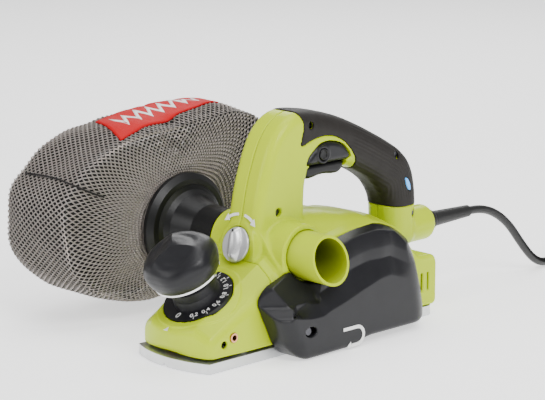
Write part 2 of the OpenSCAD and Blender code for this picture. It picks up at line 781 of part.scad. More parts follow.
rear_shoe();
shoe_screws();
front_housing();
left_housing();
right_housing();
grip_overmould();
trigger_surround();
trigger_pin();
switch_body();
live_indicator();
housing_screws();
fence_inserts();
chip_duct();
belt_cover();
belt_cover_screw();
drive_belt();
drum_bearing_left();
drum_bearing_right();
motor_bearing_left();
motor_bearing_right();
stator_core();
field_coils();
fan_baffle();
brush_holders();
carbon_brushes();
cord_clamp();
strain_relief();
mains_cord();
cord_coil();
mains_plug();
cutter_drum();
drum_shaft();
planer_blades();
blade_clamps();
blade_screws();
drum_pulley();
drum_pulley_nut();
motor_shaft();
armature_core();
armature_windings();
commutator();
cooling_fan();
motor_pulley();
motor_pulley_nut();
front_shoe();
guide_pins();
depth_spindle();
spindle_clip();
depth_dial();
knob_core();
knob_trim_ring();
knob_cap();
trigger();
lock_button();
selector_knob();
selector_flap();
bag_adapter();
bag_ring();
dust_bag();
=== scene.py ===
import functools
import json
import bpy
import bmesh
import numpy as np
from math import atan2, cos, hypot, pi, radians, sin
from mathutils import Matrix, Vector
from mathutils.bvhtree import BVHTree


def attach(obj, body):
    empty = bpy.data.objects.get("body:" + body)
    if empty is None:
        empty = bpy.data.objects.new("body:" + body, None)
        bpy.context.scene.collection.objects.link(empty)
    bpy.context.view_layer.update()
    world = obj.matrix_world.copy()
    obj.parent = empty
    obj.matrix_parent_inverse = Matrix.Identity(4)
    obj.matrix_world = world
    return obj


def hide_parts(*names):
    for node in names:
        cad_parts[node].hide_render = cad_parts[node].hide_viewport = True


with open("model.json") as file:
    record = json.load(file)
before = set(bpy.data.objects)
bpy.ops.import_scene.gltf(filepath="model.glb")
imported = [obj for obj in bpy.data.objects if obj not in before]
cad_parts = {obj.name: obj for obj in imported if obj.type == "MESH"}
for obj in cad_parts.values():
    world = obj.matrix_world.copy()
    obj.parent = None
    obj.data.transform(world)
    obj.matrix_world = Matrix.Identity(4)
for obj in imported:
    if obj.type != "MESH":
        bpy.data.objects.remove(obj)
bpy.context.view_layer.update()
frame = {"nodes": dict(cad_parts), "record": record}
scene = bpy.context.scene
nodes = frame["nodes"]
MM = 0.001


# ---------- Objects and meshes ----------
def add_object(name, data):
    obj = bpy.data.objects.new(name, data)
    scene.collection.objects.link(obj)
    return obj


def shade_smooth(mesh):
    mesh.polygons.foreach_set("use_smooth", [True] * len(mesh.polygons))


def set_material(mesh, mat):
    mesh.materials.clear()
    mesh.materials.append(mat)


def face_outwards(obj, weld=None, crease=None):
    """Turns every face outwards, once vertices nearer than weld metres are joined.

    Edges that bend by more than crease degrees are made sharp."""
    mesh = bmesh.new()
    mesh.from_mesh(obj.data)
    if weld:
        bmesh.ops.remove_doubles(mesh, verts=mesh.verts, dist=weld)
    bmesh.ops.recalc_face_normals(mesh, faces=mesh.faces)
    if crease:
        mesh.normal_update()
        for edge in mesh.edges:
            flat = len(edge.link_faces) == 2 and edge.calc_face_angle() < radians(crease)
            edge.smooth = flat
    mesh.to_mesh(obj.data)
    mesh.free()


def grid_faces(rows, columns, close_rows=True, close_columns=True):
    """Faces between rows of vertices; either way may be closed on itself."""
    faces = []
    for k in range(rows if close_rows else rows - 1):
        a, b = k * columns, (k + 1) % rows * columns
        for i in range(columns if close_columns else columns - 1):
            j = (i + 1) % columns
            faces.append((a + i, b + i, b + j, a + j))
    return faces


def add_mesh(name, verts, faces, mat=None, smooth=True):
    """A mesh object from vertices in millimetres."""
    mesh = bpy.data.meshes.new(name)
    mesh.from_pydata((np.asarray(verts, float) * MM).tolist(), [], [list(f) for f in faces])
    mesh.validate()
    if smooth:
        shade_smooth(mesh)
    mesh.update()
    obj = add_object(name, mesh)
    if mat:
        mesh.materials.append(mat)
    return obj


def tube(name, line, radius, resolution, mat, scale=MM):
    """A round tube along a line of points; the radius is in millimetres."""
    curve = bpy.data.curves.new(name, "CURVE")
    curve.dimensions = "3D"
    spline = curve.splines.new("POLY")
    spline.points.add(len(line) - 1)
    for point, p in zip(spline.points, line):
        point.co = (p.x * scale, p.y * scale, p.z * scale, 1)
    curve.bevel_depth = radius * MM
    curve.bevel_resolution = resolution
    curve.materials.append(mat)
    return add_object(name, curve)


def apply_modifiers(obj):
    """The object's evaluated mesh takes the place of its own."""
    depsgraph = bpy.context.evaluated_depsgraph_get()
    mesh = bpy.data.meshes.new_from_object(obj.evaluated_get(depsgraph))
    obj.modifiers.clear()
    obj.data = mesh


def lathe(name, profile, mat, place, axis, segments):
    """A solid of revolution from a closed profile of (radius, height) points."""
    turn = Vector(axis).normalized().to_track_quat("Z", "Y").to_matrix()
    verts = []
    for k in range(segments):
        angle = 2 * pi * k / segments
        for r, h in profile:
            point = turn @ Vector((r * cos(angle), r * sin(angle), h))
            verts.append(tuple(point + Vector(place)))
    obj = add_mesh(name, verts, grid_faces(segments, len(profile)), mat)
    face_outwards(obj, weld=1e-6, crease=35)
    return obj


# ---------- Shader nodes ----------
def set_inputs(tree, node, inputs):
    """Each input is given as a value, or as the output that it is linked to."""
    for key, value in inputs.items():
        if isinstance(value, bpy.types.NodeSocket):
            tree.links.new(value, node.inputs[key])
        else:
            node.inputs[key].default_value = value


def add_node(tree, kind, inputs=None):
    node = tree.nodes.new("ShaderNode" + kind)
    set_inputs(tree, node, inputs or {})
    return node


# ---------- Camera, light and floor, in metres ----------
CAMERA_PLACE = Vector((1.3562, 1.3871, 0.5546))
CAMERA_TARGET = Vector((0.0, -0.0192, 0.1182))
CAMERA_LENS_MM = 150.4
SENSOR_MM = 36
LAMP_TARGET = Vector((0, 0, 0.1))
LAMPS = [  # name, place, sides, watts
    ("key", (0.4, 1.5, 1.5), (1.0, 1.0), 34),
    ("fill", (1.8, -0.5, 1.0), (1.4, 1.0), 15),
    ("top", (-0.2, 0.0, 1.9), (1.4, 1.4), 26),
    ("back", (-1.4, -1.2, 1.2), (1.2, 0.8), 14),
]
WORLD_LIGHT = 0.42  # strength of the white world as a light
WORLD_SEEN = 2.0  # its strength where the camera sees it
FLOOR_REACH_MM = 6000
FLOOR_GLOW = 1.0


def aim(obj, place, target):
    obj.location = place
    obj.rotation_euler = (target - Vector(place)).to_track_quat("-Z", "Y").to_euler()


def add_camera():
    data = bpy.data.cameras.new("camera")
    data.lens = CAMERA_LENS_MM
    data.sensor_width = SENSOR_MM
    camera = add_object("camera", data)
    aim(camera, CAMERA_PLACE, CAMERA_TARGET)
    scene.camera = camera


def add_lamp(name, place, sides, watts):
    data = bpy.data.lights.new(name, "AREA")
    data.shape = "RECTANGLE"
    data.size, data.size_y = sides
    data.energy = watts
    aim(add_object(name, data), place, LAMP_TARGET)


def add_studio():
    """Four soft lamps, a white world and a white floor, none of them part of the tool."""
    for lamp in LAMPS:
        add_lamp(*lamp)
    world = bpy.data.worlds.new("studio")
    world.use_nodes = True
    tree = world.node_tree
    path = add_node(tree, "LightPath")
    level = add_node(tree, "MapRange", {"Value": path.outputs["Is Camera Ray"],
                                        "To Min": WORLD_LIGHT, "To Max": WORLD_SEEN})
    set_inputs(tree, tree.nodes["Background"],
               {"Color": (1, 1, 1, 1), "Strength": level.outputs["Result"]})
    scene.world = world
    white = bpy.data.materials.new("floor_white")
    white.use_nodes = True
    set_inputs(white.node_tree, white.node_tree.nodes["Principled BSDF"], {
        "Base Color": (0.93, 0.93, 0.93, 1), "Roughness": 0.8,
        "Emission Color": (1, 1, 1, 1), "Emission Strength": FLOOR_GLOW})
    r = FLOOR_REACH_MM
    corners = [(-r, -r, 0), (r, -r, 0), (r, r, 0), (-r, r, 0)]
    floor = add_mesh("floor", corners, [(0, 1, 2, 3)], white)


# ---------- Distance fields, all in millimetres ----------
def polygon_distance(points, x, z):
    """Distance to a closed polygon, below 0 inside it."""
    p = np.asarray(points, float)
    best = np.full(np.broadcast(x, z).shape, 1e18)
    sign = np.ones_like(best)
    for i in range(len(p)):
        a, b = p[i], p[i - 1]
        ex, ez = b - a
        wx, wz = x - a[0], z - a[1]
        t = np.clip((wx * ex + wz * ez) / (ex * ex + ez * ez), 0, 1)
        best = np.minimum(best, (wx - ex * t) ** 2 + (wz - ez * t) ** 2)
        above, below, left = z >= a[1], z < b[1], ex * wz > ez * wx
        sign = np.where((above & below & left) | ~(above | below | left), -sign, sign)
    return sign * np.sqrt(best)


def rounded(points, rounds=2, reach=6.0):
    """A closed outline with its corners cut, each at most reach from its tip."""
    p = np.asarray(points, float)
    for _ in range(rounds):
        q = np.roll(p, -1, axis=0)
        length = np.linalg.norm(q - p, axis=1)
        cut = np.minimum(0.25, reach / np.maximum(length, 1e-9))[:, None]
        p = np.stack([p + (q - p) * cut, q + (p - q) * cut], axis=1).reshape(-1, 2)
        reach = reach / 2.5
    return p


class Outline:
    """Distance to a closed outline in the XZ plane, kept on a fine grid."""
    step = 0.5
    margin = 12

    def __init__(self, points, rounds=2, reach=6.0):
        p = rounded(points, rounds, reach)
        self.low = p.min(0) - self.margin
        size = np.ceil((p.max(0) + self.margin - self.low) / self.step).astype(int) + 1
        x = self.low[0] + np.arange(size[0]) * self.step
        z = self.low[1] + np.arange(size[1]) * self.step
        self.table = polygon_distance(p, x[:, None], z[None, :])

    def __call__(self, x, z):
        u = (np.asarray(x, float) - self.low[0]) / self.step
        v = (np.asarray(z, float) - self.low[1]) / self.step
        u, v = np.broadcast_arrays(u, v)
        most = np.array(self.table.shape) - 2
        i = np.clip(np.floor(u).astype(int), 0, most[0])
        j = np.clip(np.floor(v).astype(int), 0, most[1])
        a = np.clip(u - i, 0, 1)
        b = np.clip(v - j, 0, 1)
        t = self.table
        near = ((t[i, j] * (1 - a) + t[i + 1, j] * a) * (1 - b)
                + (t[i, j + 1] * (1 - a) + t[i + 1, j + 1] * a) * b)
        beyond = np.hypot(u - np.clip(u, 0, most[0] + 1), v - np.clip(v, 0, most[1] + 1))
        return near + beyond * self.step


def extruded(d, y, half, r):
    """An outline at distance d, half thick on both sides of y = 0, with edges of radius r."""
    a, b = d + r, np.abs(y) - half + r
    return np.minimum(np.maximum(a, b), 0) + np.hypot(np.maximum(a, 0), np.maximum(b, 0)) - r


def within(*parts):
    """The space inside all of several shapes."""
    return functools.reduce(np.maximum, parts)


def cut_from(d, *cuts):
    """A shape with others taken away from it."""
    for cut in cuts:
        d = np.maximum(d, -cut)
    return d


def blend_min(a, b, k):
    """Two shapes joined, with a fillet of about k between them."""
    h = np.clip(0.5 + 0.5 * (b - a) / k, 0, 1)
    return b + (a - b) * h - k * h * (1 - h)


def blend_max(a, b, k):
    return -blend_min(-a, -b, k)


def rod_y(x, y, z, cx, cz, radius, y0, y1, r=0.5):
    """A rod along Y, from y0 to y1, with edges of radius r."""
    return extruded(np.hypot(x - cx, z - cz) - radius, y - (y0 + y1) / 2, (y1 - y0) / 2, r)


def ramp(x, a, b):
    """Rises smoothly from 0 at a to 1 at b."""
    t = np.clip((x - a) / (b - a), 0, 1)
    return t * t * (3 - 2 * t)


def contour(field, low, high, step, polish=3):
    """Vertices and quads of the surface where field is 0, in a box."""
    axes = [np.arange(a - step, b + 2 * step, step) for a, b in zip(low, high)]
    grid = (axes[0][:, None, None], axes[1][None, :, None], axes[2][None, None, :])
    shape = tuple(len(a) for a in axes)
    value = np.ascontiguousarray(np.broadcast_to(field(*grid), shape), dtype=np.float32)
    cells = tuple(n - 1 for n in shape)
    # a vertex in each crossed cell, at the mean of where the field crosses the cell's edges
    total = np.zeros(cells + (3,), np.float32)
    count = np.zeros(cells, np.int8)
    for axis in range(3):
        for near in ((0, 0), (0, 1), (1, 0), (1, 1)):
            start, end = ((*near[:axis], k, *near[axis:]) for k in (0, 1))
            a0, a1 = (value[tuple(slice(d, n + d) for d, n in zip(corner, cells))]
                      for corner in (start, end))
            cross = (a0 < 0) != (a1 < 0)
            total[..., axis] += np.divide(a0, a0 - a1, out=np.zeros_like(a0), where=cross)
            for a in range(3):
                total[..., a] += cross * start[a]
            count += cross
    used = count > 0
    index = np.full(cells, -1)
    index[used] = np.arange(used.sum())
    points = (np.argwhere(used) + total[used] / count[used][:, None]) * step + [a[0] for a in axes]
    # a quad across each crossed edge, between the four cells that share it
    inside = value < 0
    quads = []
    for axis in range(3):
        u, v = (axis + 1) % 3, (axis + 2) % 3
        at = np.argwhere(np.diff(inside, axis=axis))
        at = at[(at[:, u] > 0) & (at[:, v] > 0) & (at[:, u] < cells[u]) & (at[:, v] < cells[v])]
        around = []
        for du, dv in ((0, 0), (1, 0), (1, 1), (0, 1)):
            cell = at.copy()
            cell[:, u] -= du
            cell[:, v] -= dv
            around.append(index[tuple(cell.T)])
        ring = np.stack(around, axis=1)
        inward = ~inside[tuple(at.T)]
        ring[inward] = ring[inward][:, ::-1]
        quads.append(ring)
    for _ in range(polish):
        points = onto_surface(field, points, step)
    return points, np.concatenate(quads)


def onto_surface(field, p, step, h=0.15):
    """Moves points along the field's slope onto its zero surface."""
    x, y, z = p.T
    f = field(x, y, z)
    g = np.stack([
        field(x + h, y, z) - field(x - h, y, z),
        field(x, y + h, z) - field(x, y - h, z),
        field(x, y, z + h) - field(x, y, z - h)], axis=1) / (2 * h)
    move = -f[:, None] * g / np.maximum((g * g).sum(1), 0.2)[:, None]
    length = np.linalg.norm(move, axis=1)
    return p + move * np.minimum(1, 0.5 * step / np.maximum(length, 1e-9))[:, None]


def moulded(name, field, low, high, step, mat, hollow=None):
    """A piece from a distance field; hollow is a second field that is taken away."""
    def walls(x, y, z):
        return cut_from(field(x, y, z), hollow(x, y, z))

    verts, faces = contour(walls if hollow else field, low, high, step)
    return add_mesh(name, verts, faces, mat)


# ---------- Materials ----------
def material(name, colour, rough, vary, vary_size, bump, grain, metal=0.0, stretch=(1, 1, 1),
             coat=0.0, rough_vary=0.08, sheen=0.0, emission=None, ior=1.5, shaded=False, shine=0.5):
    """A moulded, machined or woven finish: its colour and roughness drift, with a fine relief.

    vary_size and grain are sizes in metres. Where asked, shade is painted into the colour: it darkens
    to a dark brown deep inside a hollow."""
    m = bpy.data.materials.new(name)
    m.use_nodes = True
    tree = m.node_tree
    coords = add_node(tree, "TexCoord")
    mapping = add_node(tree, "Mapping", {"Vector": coords.outputs["Object"], "Scale": stretch})
    place = mapping.outputs["Vector"]
    drift = add_node(tree, "TexNoise", {"Vector": place, "Scale": 1 / vary_size, "Detail": 4})
    fine = add_node(tree, "TexNoise", {"Vector": place, "Scale": 1 / grain, "Detail": 3})
    tint = add_node(tree, "ValToRGB", {"Fac": drift.outputs["Fac"]})
    dark, light = tint.color_ramp.elements
    dark.position, light.position = 0.3, 0.7
    dark.color = tuple(max(0, c * (1 - vary)) for c in colour) + (1,)
    light.color = tuple(min(1, c * (1 + vary)) for c in colour) + (1,)
    spread = add_node(tree, "MapRange", {"Value": fine.outputs["Fac"],
                                         "To Min": max(0.02, rough - rough_vary),
                                         "To Max": min(1, rough + rough_vary)})
    relief = add_node(tree, "Bump", {"Height": fine.outputs["Fac"], "Strength": bump,
                                     "Distance": grain * 0.4})
    paint = tint.outputs["Color"]
    # painted shade: ambient occlusion darkens the colour deep inside hollows, such as the outlet's
    # bore, where it also stands in for the dark flap inside
    if shaded:
        depth = add_node(tree, "AmbientOcclusion", {"Distance": 0.04})
        dim = add_node(tree, "Mix")
        dim.data_type = "RGBA"
        set_inputs(tree, dim, {"Factor": depth.outputs["AO"], "A": (0.035, 0.03, 0.014, 1),
                               "B": paint})
        paint = dim.outputs["Result"]
    shader = tree.nodes["Principled BSDF"]
    set_inputs(tree, shader, {
        "Base Color": paint, "Roughness": spread.outputs["Result"],
        "Normal": relief.outputs["Normal"], "Metallic": metal, "IOR": ior,
        "Specular IOR Level": shine, "Coat Weight": coat, "Coat Roughness": 0.12,
        "Sheen Weight": sheen})
    if emission:
        glow, strength = emission
        set_inputs(tree, shader, {"Emission Color": glow + (1,), "Emission Strength": strength})
    return m


LIME = (0.48, 0.61, 0.0)
# colour, roughness, drift of the colour and its size, relief and its grain, and the rest
FINISHES = {
    "lime_shell": (LIME, 0.32, 0.03, 0.05, 0.12, 0.0009, dict(coat=0.03, ior=1.42, shine=0.25)),
    # the duct's lime, with painted shade deep inside its bore
    "duct_lime": (LIME, 0.36, 0.03, 0.05, 0.12, 0.0009, dict(ior=1.42, shaded=True, shine=0.35)),
    "charcoal_shell": ((0.0085, 0.0085, 0.0105), 0.36, 0.12, 0.012, 0.3, 0.0006, dict(shine=0.3)),
    "grip_rubber": ((0.017, 0.0148, 0.0132), 0.55, 0.12, 0.01, 0.35, 0.0005, dict(shine=0.22)),
    "black_plastic": ((0.005, 0.005, 0.0055), 0.36, 0.15, 0.015, 0.2, 0.0007, dict(shine=0.3)),
    "black_rubber": ((0.007, 0.007, 0.007), 0.5, 0.2, 0.006, 0.35, 0.0008, {}),
    "cord_sheath": ((0.008, 0.008, 0.008), 0.42, 0.15, 0.01, 0.25, 0.0009, {}),
    "cast_aluminium": ((0.66, 0.67, 0.68), 0.34, 0.08, 0.012, 0.3, 0.0012,
        dict(metal=0.9, stretch=(0.08, 1, 1))),
    "silver_knob": ((0.62, 0.62, 0.63), 0.3, 0.04, 0.006, 0.12, 0.0005, dict(metal=0.6)),
    "chrome_trim": ((0.8, 0.8, 0.81), 0.12, 0.03, 0.01, 0.05, 0.0006,
        dict(metal=1.0, rough_vary=0.05)),
    "steel": ((0.5, 0.5, 0.51), 0.28, 0.1, 0.004, 0.2, 0.0007,
        dict(metal=1.0, stretch=(1, 0.15, 1))),
    "dark_steel": ((0.09, 0.09, 0.1), 0.38, 0.2, 0.003, 0.25, 0.0006, dict(metal=0.9)),
    "carbide": ((0.42, 0.43, 0.45), 0.2, 0.08, 0.006, 0.2, 0.0004,
        dict(metal=1.0, stretch=(1, 0.1, 1))),
    "brass": ((0.72, 0.36, 0.2), 0.26, 0.1, 0.003, 0.2, 0.0005,
        dict(metal=1.0, stretch=(1, 0.2, 1))),
    "copper_wire": ((0.55, 0.2, 0.08), 0.3, 0.25, 0.002, 0.9, 0.0011,
        dict(metal=0.9, stretch=(1, 0.25, 1))),
    "laminated_steel": ((0.2, 0.2, 0.22), 0.45, 0.2, 0.003, 0.6, 0.0008,
        dict(metal=0.9, stretch=(0.1, 1, 0.1))),
    "carbon": ((0.025, 0.025, 0.027), 0.5, 0.2, 0.003, 0.3, 0.0004, {}),
    "indicator_lens": ((0.05, 0.3, 0.8), 0.15, 0.1, 0.004, 0.1, 0.0008,
        dict(emission=((0.12, 0.5, 1.0), 0.9))),
    "bag_mesh": ((0.36, 0.31, 0.275), 0.75, 0.14, 0.003, 0.8, 0.0005, dict(sheen=0.4)),
    "bag_lining": ((0.008, 0.007, 0.0065), 0.9, 0.3, 0.004, 0.5, 0.0008, {}),
    "label_red": ((0.5, 0.0, 0.004), 0.6, 0.1, 0.002, 0.7, 0.0009,
        dict(stretch=(1, 3, 1), shine=0.15)),
    "white_print": ((0.86, 0.86, 0.84), 0.45, 0.03, 0.004, 0.1, 0.0005, {}),
}


# ---------- Cord: the same route as its CAD solids ----------
CORD_R = 4.0
CORD_ROUTE = [(-238, 0, 74), (-254, 0, 73), (-270, 0, 69), (-285, 1, 61), (-298, 2, 50),
              (-309, 3, 37), (-320, 4, 24), (-332, 4, 13), (-346, 3, 6), (-362, 0, 4), (-380, -5, 4),
              (-398, -13, 4)]
TAIL_ROUTE = [(-406, 88, 20), (-388, 91, 17), (-370, 94, 11), (-352, 96, 7), (-335, 97, 7),
              (-318, 96, 9)]
COIL_CENTRE = (-410, 36)
COIL_MEAN = 44
COIL_TURNS = [(1, 0), (0, 0), (-1, 0), (-1, 1), (0, 1), (1, 1), (1, 2)]  # column and layer of each
STEPS_PER_TURN = 36
CROSSING = 0.72  # how far round a turn the lead starts over to the next one


def spline_through(points, per_span=6):
    """A smooth line through given points."""
    p = [Vector(q) for q in points]
    p = [p[0] * 2 - p[1]] + p + [p[-1] * 2 - p[-2]]
    line = []
    for i in range(1, len(p) - 2):
        for k in range(per_span):
            t = k / per_span
            a, b, c, d = p[i - 1], p[i], p[i + 1], p[i + 2]
            line.append(0.5 * (2 * b + (c - a) * t + (2 * a - 5 * b + 4 * c - d) * t * t
                               + (3 * b - a - 3 * c + d) * t ** 3))
    line.append(p[-2])
    return line


def coil_line():
    """Turns side by side in two layers and one on top, from the route's end to the tail's start."""
    pitch = 2 * CORD_R
    start, end = (atan2(y - COIL_CENTRE[1], x - COIL_CENTRE[0])
                  for x, y, _ in (CORD_ROUTE[-1], TAIL_ROUTE[0]))
    sweep = (start - end) % (2 * pi) + 2 * pi * len(COIL_TURNS)
    steps = int(sweep / (2 * pi) * STEPS_PER_TURN)
    line = []
    for k in range(1, steps):
        turned = sweep * k / steps
        place = turned / (2 * pi)
        i = min(int(place), len(COIL_TURNS) - 1)
        ease = ramp(min(place - i, 1), CROSSING, 1.0)
        after = COIL_TURNS[min(i + 1, len(COIL_TURNS) - 1)]
        column, layer = (a * (1 - ease) + b * ease for a, b in zip(COIL_TURNS[i], after))
        angle = start - turned
        radius = COIL_MEAN + column * pitch
        line.append(Vector((COIL_CENTRE[0] + radius * cos(angle),
                            COIL_CENTRE[1] + radius * sin(angle), CORD_R + layer * pitch)))
    return line


def add_cord(mats):
    """The lead: out of the strain relief, down to the floor, round the coil and out to its plug."""
    line = spline_through(CORD_ROUTE) + coil_line() + spline_through(TAIL_ROUTE)
    for _ in range(3):
        inner = [(a + b * 2 + c) / 4 for a, b, c in zip(line, line[1:], line[2:])]
        line = [line[0]] + inner + [line[-1]]
    lead = tube("mains_lead", line, CORD_R - 0.05, 5, mats["cord_sheath"])
    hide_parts("mains_cord", "cord_coil")
    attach(lead, "chassis")


# ---------- Forms of the body, in millimetres ----------
# Outlines seen from the left are lists of (x, z). Y is across the tool.
DRUM = (25, 28)
DUCT = (25, 85)
MOTOR = (-60, 58)
INSERT = (106, 26.6)
SIDE_HOLE = (116, 22)
COVER_SCREW = (43, 25)
BUTTON = (-23.5, 161.5)
INDICATOR = (-132.5, 119)
INDICATOR_WAY = (-0.42, -0.907)
CORD_EXIT_Z = 74
POD_FOOT = 152.9
CASING = [(-146, 9.3), (-146, 51), (-141, 57), (-119, 57.5), (-112, 68), (-106, 80), (-101, 125),
          (52, 125), (52, 12.6), (14, 12.6), (14, 9.3)]
HANDLE = [(60.5, 66), (60.5, 79), (57.5, 100), (55, 118), (49.5, 143), (39, 172), (30, 187),
          (19, 196.5), (8, 200.8), (-2, 202), (-25, 198.6), (-52, 190.5), (-81, 177.5),
          (-112, 161.5), (-135, 147.5), (-145, 133), (-149.5, 115), (-151, 97), (-151, 58),
          (-113.5, 58), (-80, 84), (-8, 84), (20, 66)]
HAND_HOLE = [(-5, 90), (-5.5, 118), (-6.5, 136), (-9, 144), (-16, 148), (-58, 145), (-70, 141),
             (-90, 131), (-104, 119), (-112, 107), (-114, 96), (-114, 80), (-100, 60), (-60, 80)]
MOULD_ZONE = [(12, 214), (3, 200), (-1, 189), (2, 178), (4, 171), (-8, 175.6), (-19, 178),
              (-30, 178), (-42, 175), (-53, 168), (-61, 159), (-67, 150), (-70, 135), (-85, 108),
              (-96, 103), (-122, 98.5), (-165, 99.5), (-170, 150), (-100, 214)]
POD = [(-3, POD_FOOT), (-5.4, 160), (-12.4, 166), (-19.4, 171), (-26.5, 172.6), (-36, 172),
       (-48, 168.5), (-56, 161.5), (-60.5, POD_FOOT)]
TRIGGER = [(-4.5, 152.3), (-5, 147), (-8, 141.5), (-13, 139.2), (-30, 142.3), (-45, 140),
           (-52, 141), (-56, 146), (-56.5, 152.3)]
COVER = [(50, 0.8), (62, 10), (82, 53), (73, 64), (43, 74), (-12, 93), (-37, 97.5), (-66, 99),
         (-92, 89), (-103, 76), (-109, 62), (-118, 34), (-122, 6.8), (-29, 6.8), (-7, 1.4),
         (35, 0.8)]
HANDLE_HALF = 20  # half widths
BODY_HALF = 45
POD_HALF = 20.4
TRIGGER_HALF = 14
COVER_INNER, COVER_OUTER = 45.4, 73.4  # the belt cover lies between these
FRONT_X = 60.5  # the housings end here, and the front housing begins
SPLIT_GAP = 0.12  # how far each housing half stays from the middle
FIT_GAP = 0.3  # round the grip's overmould and the trigger surround
MOULD_DEPTH = 2.4
TRIGGER_PIVOT = (-13, 156.8)
TRIGGER_SWEEP = (0, 2.4, 4.8, 7)  # degrees of pull that the housings make room for
SCREWS = [(30, 118, 3.8), (-9, 189, 5), (-119, 147, 5), (-142.5, 90, 3.8)]  # with hole radius
KNOB_LEAN = radians(30)
KNOB_FOOT = 75
CAP_FOOT = 89.2  # along the knob's axis
SELECTOR = (63.2, 92.1)
SELECTOR_TILT = radians(18)
OFF = 40  # taken from a cut's depth where the cut is not wanted
# heights of the deck along x: in its middle, at the crease and at the edge
CREST = ([-118, -107, -91, -65, -47, -31, -16, 20], [84, 90, 96.5, 104, 107.3, 110.2, 111.6, 112])
CREASE = ([-112, -100, -87, -64, -41, -26, -11, 3, 60],
          [74, 86, 94, 101.6, 100.5, 97.8, 95.2, 94, 84])
EDGE = ([-112, -103, -90, -68, -47, -27, -11, 43, 57], [66, 79, 90, 98.5, 98, 96.5, 94, 80, 70])
CREASE_Y = 33
# heights along x of the belt cover's ridge, of the valley above it, and the cover's rear along z
RIDGE = ([-95, -70, -55, -42, -20, 3, 18, 29, 41, 70],
         [46, 52.4, 57.4, 56.3, 50.2, 43, 39.5, 35.7, 35.9, 41.6])
VALLEY = ([-95, -80, -59, -36, -15, 3, 31, 52, 61.5, 75],
          [50, 63.4, 73.3, 72.6, 68.7, 62.2, 51.8, 43.1, 40, 44])
REAR = ([0, 20, 37.5, 61, 81, 93.4, 98.4], [-123.5, -122.5, -119, -112, -102, -86, -69])

handle_outer = Outline(HANDLE)
hand_hole = Outline(HAND_HOLE)
casing_side = Outline(CASING, 2, 3)
mould_zone = Outline(MOULD_ZONE)
pod_side = Outline(POD, 1)
trigger_side = Outline(TRIGGER)
cover_side = Outline(COVER, 2, 4)


def away(x, z, centre):
    """Distance from an axis that runs across the tool."""
    return np.hypot(x - centre[0], z - centre[1])


def turned(x, z, centre, angle):
    """A point's place in axes through centre that are turned by an angle."""
    c, s = cos(angle), sin(angle)
    dx, dz = x - centre[0], z - centre[1]
    return dx * c - dz * s, dx * s + dz * c


def on_slope(x, y, z):
    """Height along the leaning knob axis, and distance from it."""
    across, height = turned(x, z, (KNOB_FOOT, 0), KNOB_LEAN)
    return height, np.hypot(across, y)


def selector_frame(x, z):
    """Distance out along the chip selector's axis, and up across it."""
    return turned(x, z, SELECTOR, -SELECTOR_TILT)


def handle(x, y, z):
    """The handle loop: a soft round grip behind, a flatter pillar in front."""
    d = cut_from(handle_outer(x, z), hand_hole(x, z))
    return extruded(d, y, HANDLE_HALF, 9 + 6 * ramp(x, 12, -20))


def deck_height(x, y):
    """The top of the casing: crowned, then steeper outside the crease."""
    crest, crease, edge = (np.interp(x, *table) for table in (CREST, CREASE, EDGE))
    w = np.abs(y)
    top = crest - (crest - crease) * (np.clip(w, 0, CREASE_Y) / CREASE_Y) ** 2
    slope = crease - (crease - edge) * (w - CREASE_Y) / (BODY_HALF - CREASE_Y)
    return np.where(w < CREASE_Y, top, slope)


def casing(x, y, z):
    """The lower part of both housing halves, with the deck on top."""
    d = extruded(casing_side(x, z), y, BODY_HALF, 3)
    return blend_max(d, (z - deck_height(x, y)) * 0.9, 1.2)


def nose(x, y, z):
    """The front block with its sloping, crowned top."""
    u, _ = on_slope(x, y, z)
    w = np.abs(y)
    top = (u - np.interp(w, [0, 26, 40, 45], [61.3, 61.3, 52.5, 46])) * 0.88
    side = w - BODY_HALF + 0.05 * np.maximum(0, x - 88)
    front = np.hypot(x - 41, y) - 99.5
    d = blend_max(blend_max(top, side, 3), front, 5)
    lip = (x - 139) * 0.8 + (14 - z) * 0.6
    return blend_max(blend_max(d, lip, 2), 11.6 - z, 1.2)


def rear_slots(x, y, z):
    """Two upright slots at the rear end of each side."""
    return np.minimum(*(within(np.abs(x - middle) - 1.3, np.abs(z - 32.5) - 8.5, 40 - np.abs(y))
                        for middle in (-126, -134)))


def motor_slots(x, y, z):
    """Seven slots fanned out round the motor's axis, on the right side."""
    slots = []
    for k in range(-3, 4):
        across, along = turned(x, z, MOTOR, radians(20 * k))
        slots.append(within(np.abs(across) - 1.6, np.abs(along - 26) - 7, y + 49))
    return functools.reduce(np.minimum, slots)


def trigger_path(x, z, degrees):
    """The trigger's outline, as it stands when it is pulled by some degrees."""
    a = radians(degrees)
    px, pz = x - TRIGGER_PIVOT[0], z - TRIGGER_PIVOT[1]
    return trigger_side(TRIGGER_PIVOT[0] + px * cos(a) - pz * sin(a),
                        TRIGGER_PIVOT[1] + px * sin(a) + pz * cos(a))


